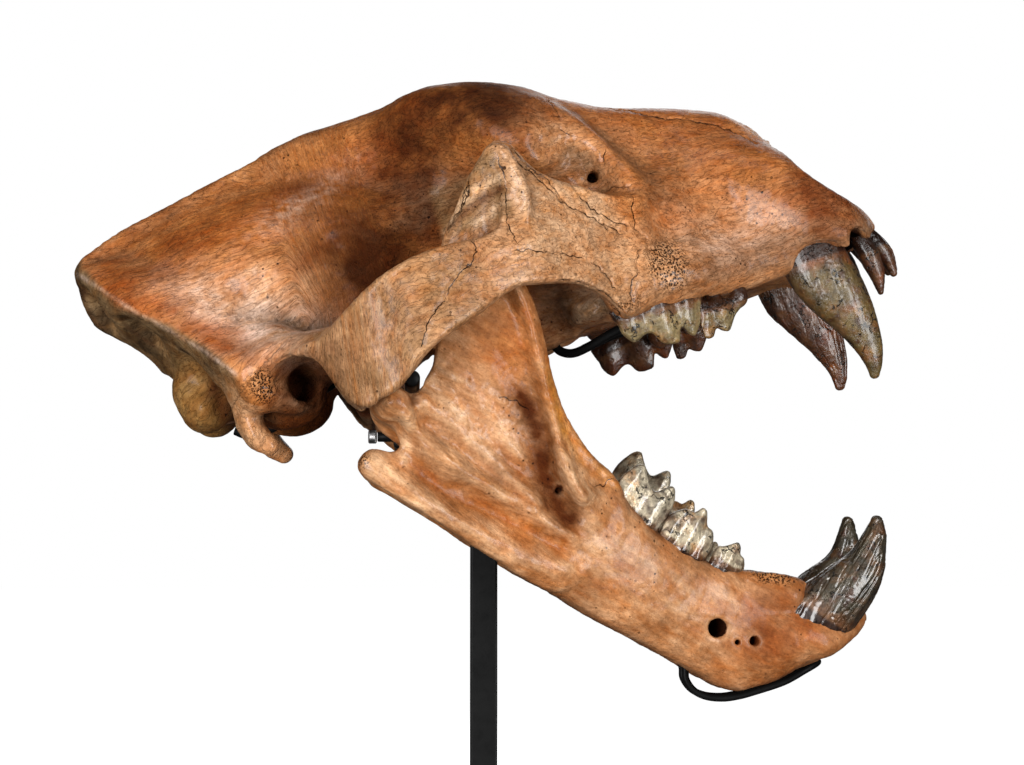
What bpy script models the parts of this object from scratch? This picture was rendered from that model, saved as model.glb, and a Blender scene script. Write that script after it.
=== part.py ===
"""Skull of the American lion, Panthera atrox, jaws open, held on a black steel stand.

Units are metres in the scene and millimetres inside the form functions. The origin is the middle of
the base plate's underside, +X is the way the skull faces, +Y its left side and +Z up. The cranium and
each half of the mandible are formed in frames of their own, whose origin is the jaw joint's axis,
with x ahead along the tooth row, and are then pitched about that axis.
"""

import math

import bmesh
import bpy
import numpy as np

MM = 0.001
JOINT_X = -0.0463            # jaw joint's axis, from the post
JOINT_Z = 0.2953             # and above the floor
CRANIUM_PITCH = 17.0         # nose up, degrees
MANDIBLE_PITCH = -31.0       # chin down, degrees
BONE_STEP = 2.5              # lattice spacing for bone, mm
TOOTH_STEP = 1.0             # and for teeth
CRANIUM_FACES = 2960
MANDIBLE_FACES = 770
CANINE_FACES = 120
CHEEK_FACES = 74
INCISOR_FACES = 30
BLOCK_REACH = 1.5            # how near a block's middle the surface must be, in block sides
NEAR_REACH = 3.0             # and as much again, mm
FILL_ROUNDS = 12
FILL_DEPTH = 0.12            # how far inside a closed cell's corners are put, in steps
WALL_CLEARANCE = 0.1         # the lattice's outer walls are outside, mm
GAP = 0.3                    # clearance between pieces that touch, mm
LEFT_RIM_LIFT = 6.0          # the left lower jaw's rim stands higher than the right one's, mm
HALVES_GAP = 0.15            # each half of the mandible stops this far from the middle, mm
SOCKET_GAP = 0.4             # room round a canine in its socket, mm
JUGAL_SIDES = (68.0, 150.0)  # a cheekbone lies between these distances from the middle, mm

BASE_SIZE = (0.250, 0.180, 0.012)
BASE_BEVEL = 0.0025
POST_SIDE = 0.0136           # square bar
POST_BEVEL = 0.0012
POST_TOP = 0.2990
BAR_DIAMETER = 7.6           # steel rods, mm
ARM_DIAMETER = 6.0
ROD_DIAMETER = 5.0
CLIP_DIAMETER = 4.6
CRADLE_DIAMETER = 3.6
SKULL_BAR_REACH = 91.0       # each way from the middle, mm
JAW_BAR_REACH = 64.0
JAW_BAR_AHEAD = 3.1          # and this far ahead of the joints
JAW_BAR_DROP = 5.4           # the bar under the mandible's joints lies this far below its arm, mm
JAW_ARM_PLACE = (-54.3, 282.0)
JAW_ARM_DIAMETER = 5.2
BOLT_LENGTH = 4.4
BOLT_DIAMETER = 7.4

ORANGE_BONE = ((0.36, 0.145, 0.052), 0.42, 0.0)
TAN_BONE = ((0.42, 0.225, 0.11), 0.5, 0.0)
PALE_BONE = ((0.47, 0.25, 0.115), 0.48, 0.0)
ENAMEL = ((0.17, 0.16, 0.12), 0.25, 0.0)
BLACK_STEEL = ((0.012, 0.012, 0.013), 0.38, 0.6)
BRIGHT_STEEL = ((0.6, 0.6, 0.6), 0.3, 1.0)


def soft_min(a, b, k):
    """The smaller of two distances, blended over about k where they are alike."""
    h = np.clip(0.5 + 0.5 * (b - a) / k, 0, 1)
    return b + (a - b) * h - k * h * (1 - h)


def soft_max(a, b, k):
    return -soft_min(-a, -b, k)


def smooth_step(t):
    """0 to 1 as t goes from 0 to 1, level at both ends."""
    t = np.clip(t, 0, 1)
    return t * t * (3 - 2 * t)


class Run:
    """A smooth curve through stations (place, value), level past its ends, with no overshoot."""
    def __init__(self, *stations):
        self.at = np.array([s[0] for s in stations], float)
        self.value = np.array([s[1] for s in stations], float)
        gap = np.diff(self.at)
        rise = np.diff(self.value) / gap
        slope = np.zeros(len(self.at))
        same_way = rise[1:] * rise[:-1] > 0
        w1, w2 = 2 * gap[1:] + gap[:-1], gap[1:] + 2 * gap[:-1]
        safe = np.where(same_way, rise[:-1], 1.0), np.where(same_way, rise[1:], 1.0)
        slope[1:-1] = np.where(same_way, (w1 + w2) / (w1 / safe[0] + w2 / safe[1]), 0.0)
        slope[0], slope[-1] = rise[0], rise[-1]
        self.slope = slope

    def __call__(self, x):
        x = np.clip(x, self.at[0], self.at[-1])
        i = np.clip(np.searchsorted(self.at, x) - 1, 0, len(self.at) - 2)
        gap = self.at[i + 1] - self.at[i]
        t = (x - self.at[i]) / gap
        a, b = self.value[i], self.value[i + 1]
        ma, mb = self.slope[i] * gap, self.slope[i + 1] * gap
        start = ((2 * t - 3) * t * t + 1) * a + ((t - 2) * t + 1) * t * ma
        return start + (3 - 2 * t) * t * t * b + (t - 1) * t * t * mb


def between(a, b, c, d, t):
    """The Catmull-Rom point at t, from 0 at b to 1 at c."""
    bend = (2 * a - 5 * b + 4 * c - d) * t * t + (3 * b - a - 3 * c + d) * t ** 3
    return 0.5 * (2 * b + (c - a) * t + bend)


def spline(points, steps):
    """Catmull-Rom through rows of numbers."""
    p = np.array(points, float)
    p = np.vstack([2 * p[0] - p[1], p, 2 * p[-1] - p[-2]])
    out = []
    for i in range(1, len(p) - 2):
        for t in np.arange(steps) / steps:
            out.append(between(*p[i - 1:i + 3], t))
    out.append(p[-2])
    return np.array(out)


class Clay:
    """Points in space with the distance, in mm, from each to the form built so far: under 0 is inside."""
    def __init__(self, points):
        self.p = np.asarray(points, float)
        self.d = np.full(len(points), 1e3, np.float32)

    def near(self, low, high, reach):
        low, high = np.array(low, float) - reach, np.array(high, float) + reach
        return np.nonzero(((self.p > low) & (self.p < high)).all(1))[0]

    def _mix(self, form, k, cut, reach):
        distance, low, high = form
        i = self.near(low, high, reach + 1.2 * k)
        if len(i) == 0:
            return
        d = distance(*self.p[i].T)
        self.d[i] = soft_max(self.d[i], -d, k) if cut else soft_min(self.d[i], d, k)

    def add(self, form, k=6.0, reach=12.0):
        self._mix(form, k, False, reach)

    def cut(self, form, k=3.0, reach=12.0):
        self._mix(form, k, True, reach)


def ball(centre, radii, turn=(0, 0, 0)):
    """An ellipsoid, turned about x, then y, then z, in degrees."""
    c, r = np.array(centre, float), np.array(radii, float) * np.ones(3)
    ax, ay, az = np.radians(turn)
    rx = np.array([[1, 0, 0], [0, np.cos(ax), -np.sin(ax)], [0, np.sin(ax), np.cos(ax)]])
    ry = np.array([[np.cos(ay), 0, np.sin(ay)], [0, 1, 0], [-np.sin(ay), 0, np.cos(ay)]])
    rz = np.array([[np.cos(az), -np.sin(az), 0], [np.sin(az), np.cos(az), 0], [0, 0, 1]])
    m = rz @ ry @ rx
    def distance(x, y, z):
        q = np.stack([x - c[0], y - c[1], z - c[2]], 1) @ m
        a = np.sqrt(((q / r) ** 2).sum(1)) + 1e-9
        b = np.sqrt(((q / r ** 2) ** 2).sum(1)) + 1e-9
        return a * (a - 1) / b
    return distance, c - r.max(), c + r.max()


def rod(points, steps=5, k=0):
    """A round bar through (x, y, z, radius) stations."""
    s = spline(points, steps) if steps > 1 else np.array(points, float)
    def distance(x, y, z):
        best = np.full(len(x), 1e3)
        for a, b in zip(s[:-1], s[1:]):
            ab = b[:3] - a[:3]
            t = np.clip(((x - a[0]) * ab[0] + (y - a[1]) * ab[1] + (z - a[2]) * ab[2]) / (ab @ ab), 0, 1)
            dx, dy, dz = x - a[0] - t * ab[0], y - a[1] - t * ab[1], z - a[2] - t * ab[2]
            best = np.minimum(best, np.sqrt(dx * dx + dy * dy + dz * dz) - (a[3] + t * (b[3] - a[3])))
        return best
    r = s[:, 3].max()
    return distance, s[:, :3].min(0) - r, s[:, :3].max(0) + r


def strap(points, up=(0, 0, 1), power=2.4, steps=6):
    """A band through (x, y, z, half depth, half thickness) stations: deep along up, thin across it."""
    s = spline(points, steps)
    up = np.array(up, float)
    up /= np.linalg.norm(up)
    def distance(x, y, z):
        near = np.full(len(x), 1e9)
        best = np.full(len(x), 1e3)
        for a, b in zip(s[:-1], s[1:]):
            ab = b[:3] - a[:3]
            length = np.linalg.norm(ab)
            along = ab / length
            u = up - along * (up @ along)
            u /= np.linalg.norm(u)
            n = np.cross(along, u)
            qx, qy, qz = x - a[0], y - a[1], z - a[2]
            raw = (qx * along[0] + qy * along[1] + qz * along[2]) / length
            t = np.clip(raw, 0, 1)
            over = (raw - t) * length
            qx, qy, qz = qx - t * ab[0], qy - t * ab[1], qz - t * ab[2]
            v = qx * u[0] + qy * u[1] + qz * u[2]
            w = qx * n[0] + qy * n[1] + qz * n[2]
            deep, thin = a[3] + t * (b[3] - a[3]), a[4] + t * (b[4] - a[4])
            total = (np.abs(v) / deep) ** power + (np.abs(w) / thin) ** power + (np.abs(over)
                                                                                 / thin) ** power
            d = (total ** (1 / power) - 1) * thin
            gap = qx * qx + qy * qy + qz * qz
            closer = gap < near
            near = np.where(closer, gap, near)
            best = np.where(closer, d, best)
        return best
    r = s[:, 3:].max()
    return distance, s[:, :3].min(0) - r, s[:, :3].max(0) + r


def loft(x0, x1, half_width, top, bottom, power=2.4, lean=None, end=10.0):
    """A body along x: its half width, top and bottom are Runs of x. lean narrows it towards its top."""
    def distance(x, y, z):
        w, hi, lo = half_width(x), top(x), bottom(x)
        c, h = (hi + lo) / 2, np.maximum((hi - lo) / 2, 1)
        v = (z - c) / h
        if lean is not None:
            w = w * (1 - lean(x) * np.clip(v, -1, 1))
        s = (np.abs(y / w) ** power + np.abs(v) ** power) ** (1 / power)
        d = (s - 1) * np.minimum(w, h)
        return soft_max(soft_max(d, x - x1, end), x0 - x, end)
    xs = np.linspace(x0, x1, 60)
    w = half_width(xs).max() * 1.4
    return distance, (x0, -w, bottom(xs).min()), (x1, w, top(xs).max())


def outline_distance(points, x, z):
    """Signed distance in the x-z plane to a closed outline: under 0 inside."""
    p = np.array(points, float)
    q = np.roll(p, -1, 0)
    best = np.full(len(x), 1e9)
    inside = np.zeros(len(x), bool)
    for a, b in zip(p, q):
        e = b - a
        t = np.clip(((x - a[0]) * e[0] + (z - a[1]) * e[1]) / (e @ e), 0, 1)
        best = np.minimum(best, (x - a[0] - t * e[0]) ** 2 + (z - a[1] - t * e[1]) ** 2)
        if a[1] != b[1]:
            crosses = (a[1] > z) != (b[1] > z)
            inside ^= crosses & (x < a[0] + (z - a[1]) * e[0] / (b[1] - a[1]))
    return np.where(inside, -1, 1) * np.sqrt(best)


def closed_spline(points, steps=5):
    """Catmull-Rom round a closed outline."""
    p = np.array(points, float)
    n = len(p)
    out = []
    for i in range(n):
        a, b, c, d = p[i - 1], p[i], p[(i + 1) % n], p[(i + 2) % n]
        for t in np.arange(steps) / steps:
            out.append(between(a, b, c, d, t))
    return np.array(out)


def sample(shape, low, high, step, block=8, mirror=False):
    """Distances on a lattice, worked out only in blocks that the surface passes near."""
    low, high = np.array(low, float), np.array(high, float)
    if mirror:
        low[1] = 0.0
    blocks = np.ceil(np.ceil((high - low) / step) / block).astype(int)
    size = blocks * block + 1
    middles = [low[axis] + (np.arange(blocks[axis]) + 0.5) * block * step for axis in range(3)]
    coarse = Clay(np.stack(np.meshgrid(*middles, indexing="ij"), -1).reshape(-1, 3))
    shape(coarse)
    lattice = coarse.d.reshape(blocks)
    for axis in range(3):
        lattice = np.repeat(lattice, block, axis)
    lattice = np.pad(lattice, (0, 1), mode="edge")
    reach = block * step * BLOCK_REACH + NEAR_REACH
    hit = np.nonzero(np.abs(coarse.d) < reach)[0]
    corner = np.stack(np.unravel_index(hit, blocks), 1) * block
    inner = np.stack(np.meshgrid(*[np.arange(block + 1)] * 3, indexing="ij"), -1).reshape(-1, 3)
    place = (corner[:, None, :] + inner[None]).reshape(-1, 3)
    flat = np.unique(np.ravel_multi_index(place.T, size))
    fine = Clay(low + np.stack(np.unravel_index(flat, size), 1) * step)
    shape(fine)
    lattice.reshape(-1)[flat] = fine.d
    if mirror:
        lattice = np.concatenate([lattice[:, :0:-1, :], lattice], 1)
        low[1] = -(size[1] - 1) * step
    return lattice, low


CORNERS = np.array([[c & 1, (c >> 1) & 1, c >> 2] for c in range(8)])


def splits(code):
    """Whether a cell with these inside corners would be crossed by two sheets that touch."""
    for wanted in (0, 1):
        left = {c for c in range(8) if (code >> c) & 1 == wanted}
        if not left:
            continue
        stack = [left.pop()]
        while stack:
            corner = stack.pop()
            for other in (corner ^ 1, corner ^ 2, corner ^ 4):
                if other in left:
                    left.discard(other)
                    stack.append(other)
        if left:
            return True
    return False


TOUCHING = np.array([splits(code) for code in range(256)])


def filled(distances, step):
    """The lattice with every cell closed where two walls would touch at an edge or a corner."""
    size = np.array(distances.shape) - 1
    for _ in range(FILL_ROUNDS):
        code = np.zeros(size, np.int32)
        for c, (i, j, k) in enumerate(CORNERS):
            inside = distances[i:size[0] + i, j:size[1] + j, k:size[2] + k] < 0
            code |= inside.astype(np.int32) << c
        bad = np.nonzero(TOUCHING[code])
        if len(bad[0]) == 0:
            break
        for i, j, k in CORNERS:
            where = bad[0] + i, bad[1] + j, bad[2] + k
            distances[where] = np.minimum(distances[where], -FILL_DEPTH * step)
    return distances


def skin(lattice, low, step):
    """Surface nets: one point in each cell that the surface crosses, and a quad on each crossed edge."""
    lattice = lattice.copy()
    for side in (0, -1):
        for wall in (lattice[side], lattice[:, side], lattice[:, :, side]):
            wall[...] = np.abs(wall) + WALL_CLEARANCE
    lattice = filled(lattice, step)
    inside = lattice < 0
    size = np.array(lattice.shape) - 1
    count = np.zeros(size, np.uint8)
    for i, j, k in CORNERS:
        count += inside[i:size[0] + i, j:size[1] + j, k:size[2] + k]
    cells = np.nonzero((count > 0) & (count < 8))
    number = np.full(count.shape, -1, np.int32)
    number[cells] = np.arange(len(cells[0]))
    value = np.stack([lattice[cells[0] + i, cells[1] + j, cells[2] + k] for i, j, k in CORNERS], 1)
    total, hits = np.zeros((len(cells[0]), 3)), np.zeros(len(cells[0]))
    for a in range(8):
        for bit in (1, 2, 4):
            if a & bit:
                continue
            va, vb = value[:, a], value[:, a | bit]
            cross = (va < 0) != (vb < 0)
            t = np.where(cross, va / np.where(cross, va - vb, 1), 0)
            point = CORNERS[a] + t[:, None] * (CORNERS[a | bit] - CORNERS[a])
            total += point * cross[:, None]
            hits += cross
    points = (np.stack(cells, 1) + total / hits[:, None]) * step + low
    return points, np.concatenate([crossed_quads(inside, number, axis) for axis in range(3)])


def crossed_quads(inside, number, axis):
    """A quad round each lattice edge along this axis that the surface crosses."""
    first = np.take(inside, range(inside.shape[axis] - 1), axis)
    second = np.take(inside, range(1, inside.shape[axis]), axis)
    edge = np.stack(np.nonzero(first != second), 1)
    u, v = (axis + 1) % 3, (axis + 2) % 3
    within = (edge[:, u] > 0) & (edge[:, v] > 0)
    within &= (edge[:, u] < inside.shape[u] - 1) & (edge[:, v] < inside.shape[v] - 1)
    edge = edge[within]
    du, dv = np.eye(3, dtype=int)[u], np.eye(3, dtype=int)[v]
    around = ((0, 0), (1, 0), (1, 1), (0, 1))
    quads = np.stack([number[tuple((edge - s * du - t * dv).T)] for s, t in around], 1)
    flip = ~inside[tuple(edge.T)]
    quads[flip] = quads[flip][:, ::-1]
    return quads


# ---------------------------------------------------------------- cranium
ROOF = Run((-136, 117), (-125, 123.5), (-106, 130), (-88, 133.5), (-70, 137), (-52, 141), (-34, 144.5),
           (-16, 148), (2, 150), (19, 150), (36, 150.7), (45, 152.4), (55, 154.5), (63, 155), (72, 154),
           (80, 152.7), (88, 150.8), (96, 148), (104, 144.7), (111, 140.8), (118, 136), (125, 131.2),
           (133, 126.8), (140, 123), (148, 119.6), (156, 116.8), (164, 114.3), (172, 112), (180, 109.6),
           (187, 106.9), (195, 104), (203, 100.5), (210, 95.2), (217, 88.5), (223, 80.5), (227, 67),
           (233, 57), (239, 50), (246, 44), (253, 38), (259, 29), (265, 18))
OCCIPUT = Run((10, -96), (30, -98), (45, -104), (59, -110), (70, -118), (78, -126), (86, -133),
              (100, -135.5), (112, -135.5), (122, -131))


def crest(x, y, z):
    """The sagittal crest: a tent under the roof line, thin at its top."""
    drop = ROOF(x) - z
    depth = np.maximum(drop, 0)
    half = 2.6 + 0.10 * depth + 0.0030 * depth ** 2 + 10 * smooth_step((x - 5) / 50)
    side = (np.abs(y) - half) * 0.8
    ends = soft_max(drop - 52, np.maximum(x - 52, -138 - x), 6)
    return soft_max(soft_max(side, -drop * 0.95, 4), ends, 4)


def cut_occiput(c):
    """The back of the skull: a wall that leans and wraps forward at its sides."""
    x, y, z = c.p.T
    wrap = 0.42 * (np.sqrt(y * y + 64) - 8)
    behind = (OCCIPUT(z) + wrap - x) * 0.85
    c.d = np.where(x < -50, soft_max(c.d, behind, 3), c.d)


def plate(outline, middle, thick, round_off=4.0):
    """A curved sheet of bone: its outline from the side, its middle and half thickness across."""
    pts = closed_spline(outline, 4)
    def distance(x, y, z):
        edge = outline_distance(pts, x, z)
        mid, slope = middle(x, z), (middle(x + 1, z) - middle(x - 1, z)) / 2
        across = np.abs(y - mid) / np.sqrt(1 + slope ** 2) - thick(x, z)
        return soft_max(edge, across, round_off)
    yy = [middle(np.array([a]), np.array([b]))[0] for a, b in pts]
    low = pts[:, 0].min(), min(yy) - 14, pts[:, 1].min()
    high = pts[:, 0].max(), max(yy) + 14, pts[:, 1].max()
    return distance, low, high


ARCH_MID = Run((-60, 74), (-45, 84), (-34, 92), (-24, 101), (-9, 116), (9, 125), (27, 126.5), (46, 122),
               (60, 116), (80, 109), (92, 102), (104, 93), (117, 80.5), (128, 70), (143, 57), (160, 45))


def arch_mid(x, z):
    """How far out the cheek arch stands: its upper edge leans in under the temple."""
    lean = smooth_step((x - 55) / 15) * smooth_step((135 - x) / 30)
    return ARCH_MID(x) - 0.25 * np.maximum(z - 52, 0) * lean


def arch_thick(x, z):
    rear, front = smooth_step((20 - x) / 40), smooth_step((x - 105) / 25)
    return 4.6 + 1.6 * rear + 2.5 * front + 0.5 * smooth_step((40 - z) / 20)


ARCH = [(-46, 33), (-34, 36.5), (-23, 37), (-9, 44), (9, 53), (27, 58), (46, 59.5), (60, 59), (70, 62),
        (75.5, 74), (78, 86), (76, 93), (77, 100), (84, 103.5), (94, 95.5), (105, 83.5), (116, 74),
        (127, 67), (138, 62), (147, 52), (150, 38), (139, 18), (127, 8), (119, 6.5), (115, 13),
        (110, 19.5), (104, 24.5), (97, 28), (83, 31), (69, 32), (45, 23), (25, 16), (6, 3), (-5, 0),
        (-11, -2), (-18, 3), (-23, 14), (-28, 26), (-36, 30)]
# the flat face behind the temple's corner, over the cheek arch
TEMPLE_FACE = [(40, 52), (45, 66), (55, 78), (61, 86), (67, 92.5), (77, 100), (86, 98), (90, 72),
               (80, 54), (60, 52)]


def temple_mid(x, z):
    return 91 + 0.42 * (x - 46) + 0.06 * (75 - z)


def temple_thick(x, z):
    return 3.4 + 0 * x


def cranium(c):
    # braincase and its crest
    c.add(ball((-36, 0, 78), (88, 53, 47)), 1)
    c.add(loft(-112, 62, Run((-112, 34), (-80, 41), (-40, 42), (0, 38), (30, 33), (62, 34)),
               Run((-112, 84), (-60, 96), (0, 100), (62, 110)),
               Run((-112, 40), (-80, 26), (-40, 29), (0, 31), (62, 28)), 2.6), 14)
    c.add((crest, (-138, -60, 60), (60, 60, 160)), 22, 30)
    # slope from the braincase out to the nuchal crest
    c.add(rod([(-119, 14, 102, 9), (-108, 29, 90, 12), (-94, 38, 76, 15), (-80, 44, 60, 17),
               (-66, 50, 46, 16), (-48, 58, 42, 12)], 4), 14)
    # squamosal shelf over the ear
    c.add(rod([(-76, 60, 42, 8), (-62, 70, 33, 6.5), (-48, 79, 34, 5), (-36, 85, 35, 5),
               (-26, 90, 34, 6.5), (-10, 92, 32, 11)], 4), 14)
    c.add(ball((-38, 54, 32), (46, 30, 12), (12, 0, 0)), 12)
    # nuchal crest
    c.add(rod([(-131, 3, 114, 4), (-124, 25, 101.5, 3.4), (-110, 41, 84, 3.2), (-94, 52, 67, 3.2),
               (-78, 62, 49, 3.6), (-65, 74, 31, 4)], 4), 9)
    # forehead
    c.add(loft(-30, 225, Run((-30, 6), (0, 14), (25, 23), (45, 33), (60, 40), (80, 46), (97, 48),
                             (125, 44), (145, 38), (170, 31), (200, 27), (225, 22)), ROOF,
               Run((-30, 110), (0, 105), (40, 92), (100, 80), (150, 62), (225, 50)), 2.5, None, 20), 10)
    # swelling at the temple, and the brow over the orbit
    c.add(rod([(62, 26, 134, 15), (80, 40, 124, 15), (94, 48, 112, 14), (103, 51, 101, 11)], 4), 16)
    c.add(rod([(108, 43, 117, 7.5), (120, 45, 109, 6.5), (131, 48.5, 97, 5), (138, 52.5, 84, 4.5),
               (144, 58, 70, 5)], 4), 10)
    # walls inside the orbit and below it
    c.add(loft(40, 160, Run((40, 30), (62, 32), (88, 41), (112, 48), (135, 55), (160, 52)),
               Run((40, 112), (100, 108), (140, 88), (160, 72)),
               Run((40, 28), (80, 22), (110, 18), (160, 20)), 3.0), 10)
    # muzzle
    c.add(loft(118, 263, Run((118, 64), (140, 66), (158, 61.5), (176, 54), (192, 49), (208, 49),
                             (222, 51), (238, 48), (250, 39), (263, 24)),
               Run((118, 64), (140, 72), (165, 78), (190, 78), (210, 73), (225, 62), (240, 44),
                   (255, 32), (263, 24)), Run((118, 6), (140, 6), (180, 5), (205, 8), (240, 10),
                                              (263, 11)), 3.4, Run((118, 0.1), (150, 0.17), (200, 0.19),
                                                                   (263, 0.1))), 12)
    c.add(loft(140, 232, Run((140, 42), (170, 40), (200, 38), (232, 32)),
               Run((140, 100), (170, 97), (200, 88), (215, 78), (232, 60)), Run((140, 40), (232, 20)),
               2.6), 16)
    # canine root swelling
    c.add(rod([(231, 41, 18, 16.5), (223, 41, 34, 16.5), (210, 38, 50, 14), (194, 34, 64, 11)], 4), 16)
    # cheek over the carnassial
    c.add(rod([(124, 70.5, 17, 7.5), (130, 69, 18, 9.5), (142, 65, 18.5, 10.5), (160, 58.5, 17.5, 10),
               (182, 50, 15.5, 9.5), (197, 46.5, 15, 9), (207, 45, 17, 9)], 4), 12)
    # front of the mouth
    c.add(rod([(236, 32, 23, 9), (247, 25, 23, 8.5), (255, 14, 23, 8), (258, 0, 23, 7.5)], 4), 6)
    # arch
    c.add(plate(ARCH, arch_mid, arch_thick, 2.8), 6, 14)
    c.add(plate(TEMPLE_FACE, temple_mid, temple_thick), 3, 14)
    c.add(rod([(125, 70, 26, 10), (130, 65, 38, 12.5), (137, 58, 50, 13)], 4), 12)
    # joint bar
    c.add(rod([(-2, 40, 21, 10), (0, 70, 20, 10.5), (2, 100, 19, 10), (2, 116, 22, 8)], 3), 10)
    c.add(rod([(-14, 50, 16, 6), (-13, 72, 13, 6.5), (-11, 90, 8, 6.5), (-9, 102, 5, 6)], 3), 7)
    # base of the skull
    c.add(loft(-104, 40, Run((-104, 30), (-80, 30), (-60, 22), (-20, 17), (40, 20)),
               Run((-104, 50), (40, 50)), Run((-104, 22), (-80, 18), (-62, 17), (-45, 22), (-32, 27),
                                              (-18, 28), (40, 27)), 3), 8)
    c.add(ball((-48, 41, 18.5), (20, 15, 15), (0, 0, 20)), 5)
    c.add(rod([(-46, 52, 20, 9), (-44, 64, 18, 10)], 1), 6)
    # mastoid and paroccipital
    c.add(rod([(-76, 58, 42, 9), (-68, 66, 31, 9), (-59, 69, 22, 8.5)], 3), 10)
    c.add(rod([(-76, 52, 30, 9), (-72, 58, 18, 8.5), (-68, 61, 6, 7), (-62.5, 62, -2, 5)], 4), 7)
    cut_occiput(c)
    # occipital condyles
    c.add(ball((-89, 25, 27), (12.5, 14.5, 12.5), (0, 0, -25)), 5)
    c.add(ball((-93, 23, 39), (9.5, 12, 14), (0, 20, -25)), 3)
    # pterygoids
    c.add(strap([(32, 17, 30, 8, 4), (46, 18, 25, 13, 3.5), (70, 19, 22, 17, 3.5), (98, 22, 20, 14, 5)],
                (0, 0, 1)), 6)
    c.add(rod([(44, 18, 14, 4), (40, 18, 5, 3.5), (37, 19, -2, 2.6)], 3), 4)
    # palate
    c.add(loft(92, 236, Run((92, 30), (110, 48), (150, 52), (236, 38)), Run((92, 24), (236, 24)),
               Run((92, 12), (120, 9), (236, 9)), 4), 6)

    # ------------------------------------------------ hollows
    spread = np.sqrt(c.p[:, 1] ** 2 + 25) - 5
    c.d = soft_max(c.d, (c.p[:, 2] - ROOF(c.p[:, 0]) + 0.21 * spread) * 0.9, 4)
    # back of the skull
    c.cut(ball((-131, 15, 88), (11, 11, 16), (0, -20, 24)), 4)
    c.cut(ball((-110, 36, 68), (8, 14, 14), (0, -25, 24)), 5)
    c.cut(ball((-92, 47, 42), (10, 13, 14), (0, -30, 24)), 5)
    # hollow between the paroccipital and the condyle
    c.cut(ball((-80, 46, 22), (8, 12, 12)), 5)
    # foramen magnum
    c.cut(rod([(-130, 0, 36, 14), (-80, 0, 38, 14)], 1), 3)
    # recess under the shelf, and the ear opening in it
    c.cut(ball((-38, 90, 21), (15, 19, 12), (0, 20, 0)), 4)
    c.cut(rod([(-35, 96, 19.5, 10), (-35, 74, 20.5, 9.5), (-38, 58, 21, 8.5), (-40, 48, 21, 6)], 3), 3)
    # dent behind the temple
    c.cut(ball((4, 54, 80), (13, 11, 9), (0, 30, 0)), 8)
    # joint hollow
    c.cut(rod([(0, 30, -1, 12), (0, 108, -1, 12)], 1), 3)
    # orbit
    c.cut(ball((115, 82, 92), (25, 27, 15), (0, 30, 26)), 5)
    # choana
    c.cut(rod([(16, 0, 8, 8), (40, 0, 12, 13), (75, 0, 15, 15), (97, 0, 15, 15)], 4), 3)
    # palate vault
    c.cut(loft(86, 238, Run((86, 30), (115, 45), (150, 43), (190, 34), (238, 26)),
               Run((86, 9), (150, 13), (238, 13)), Run((86, -40), (238, -40)), 2.2), 4)
    # under the incisors, and outside the canine's root
    c.cut(rod([(236, 46, 0, 13), (247, 34, 2, 12.5), (258, 18, 3, 12), (264, 0, 3, 12)], 4), 3)
    c.cut(ball((222, 58, 3), (16, 12, 13.5)), 2)
    c.cut(rod([(160.5, 62, 2, 3.4), (161, 56, 5.5, 3)], 1), 1.5)
    c.cut(rod([(172.5, 60, -1, 3.6), (172.5, 54, 1, 3)], 1), 1.5)
    c.cut(ball((244, 31, 8), (5.5, 8, 6.5)), 2)
    # nose
    c.cut(loft(176, 290, Run((176, 16), (200, 23), (222, 27), (290, 27)),
               Run((176, 80), (205, 88), (214, 85), (222, 76), (290, 76)),
               Run((176, 36), (230, 33), (290, 31)), 2.6), 3)
    c.cut(rod([(262, 0, 34, 7), (248, 0, 38, 7)], 1), 3)
    # shallow dimple behind the canine's root
    c.cut(ball((161, 74, 50), (13, 12, 11)), 8)
    # lacrimal
    c.cut(rod([(126, 74, 79.5, 3.3), (128, 36, 79.5, 3.0)], 1), 0.8)


# ---------------------------------------------------------------- mandible, one half, on the +y side
def line_distance(x, z, route):
    """Distance in the x-z plane to an open line through stations."""
    best = np.full(len(x), 1e9)
    for (ax, az), (bx, bz) in zip(route[:-1], route[1:]):
        ex, ez = bx - ax, bz - az
        t = np.clip(((x - ax) * ex + (z - az) * ez) / (ex * ex + ez * ez), 0, 1)
        best = np.minimum(best, (x - ax - t * ex) ** 2 + (z - az - t * ez) ** 2)
    return np.sqrt(best)


JAW_MID = Run((-5, 85), (25, 84), (45, 80.5), (60, 76.5), (92, 69), (118, 61))


def jaw_mid(x, z):
    return JAW_MID(x) + 0.05 * np.maximum(z - 20, 0)


def jaw_thick(x, z):
    return 3.4 + 3.5 * smooth_step((-16 - z) / 18) + 0 * x


JAW = [(13, 8), (8.5, 15), (8, 24), (5, 32), (1, 44), (-3, 60), (-4, 72), (0, 84), (8, 90), (17, 87),
       (27, 78), (38, 69.5), (46.5, 62), (55.5, 52.5), (69.5, 41), (82.5, 34), (96, 28), (109, 25.5),
       (118, 17), (124, 0), (118, -20), (108, -37), (68, -37.5), (45, -36.5), (22, -36), (10, -37),
       (4, -35), (2.5, -30), (4, -25), (10.5, -21.5), (13, -17), (10, -11), (7, -6), (9, 2)]
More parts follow.
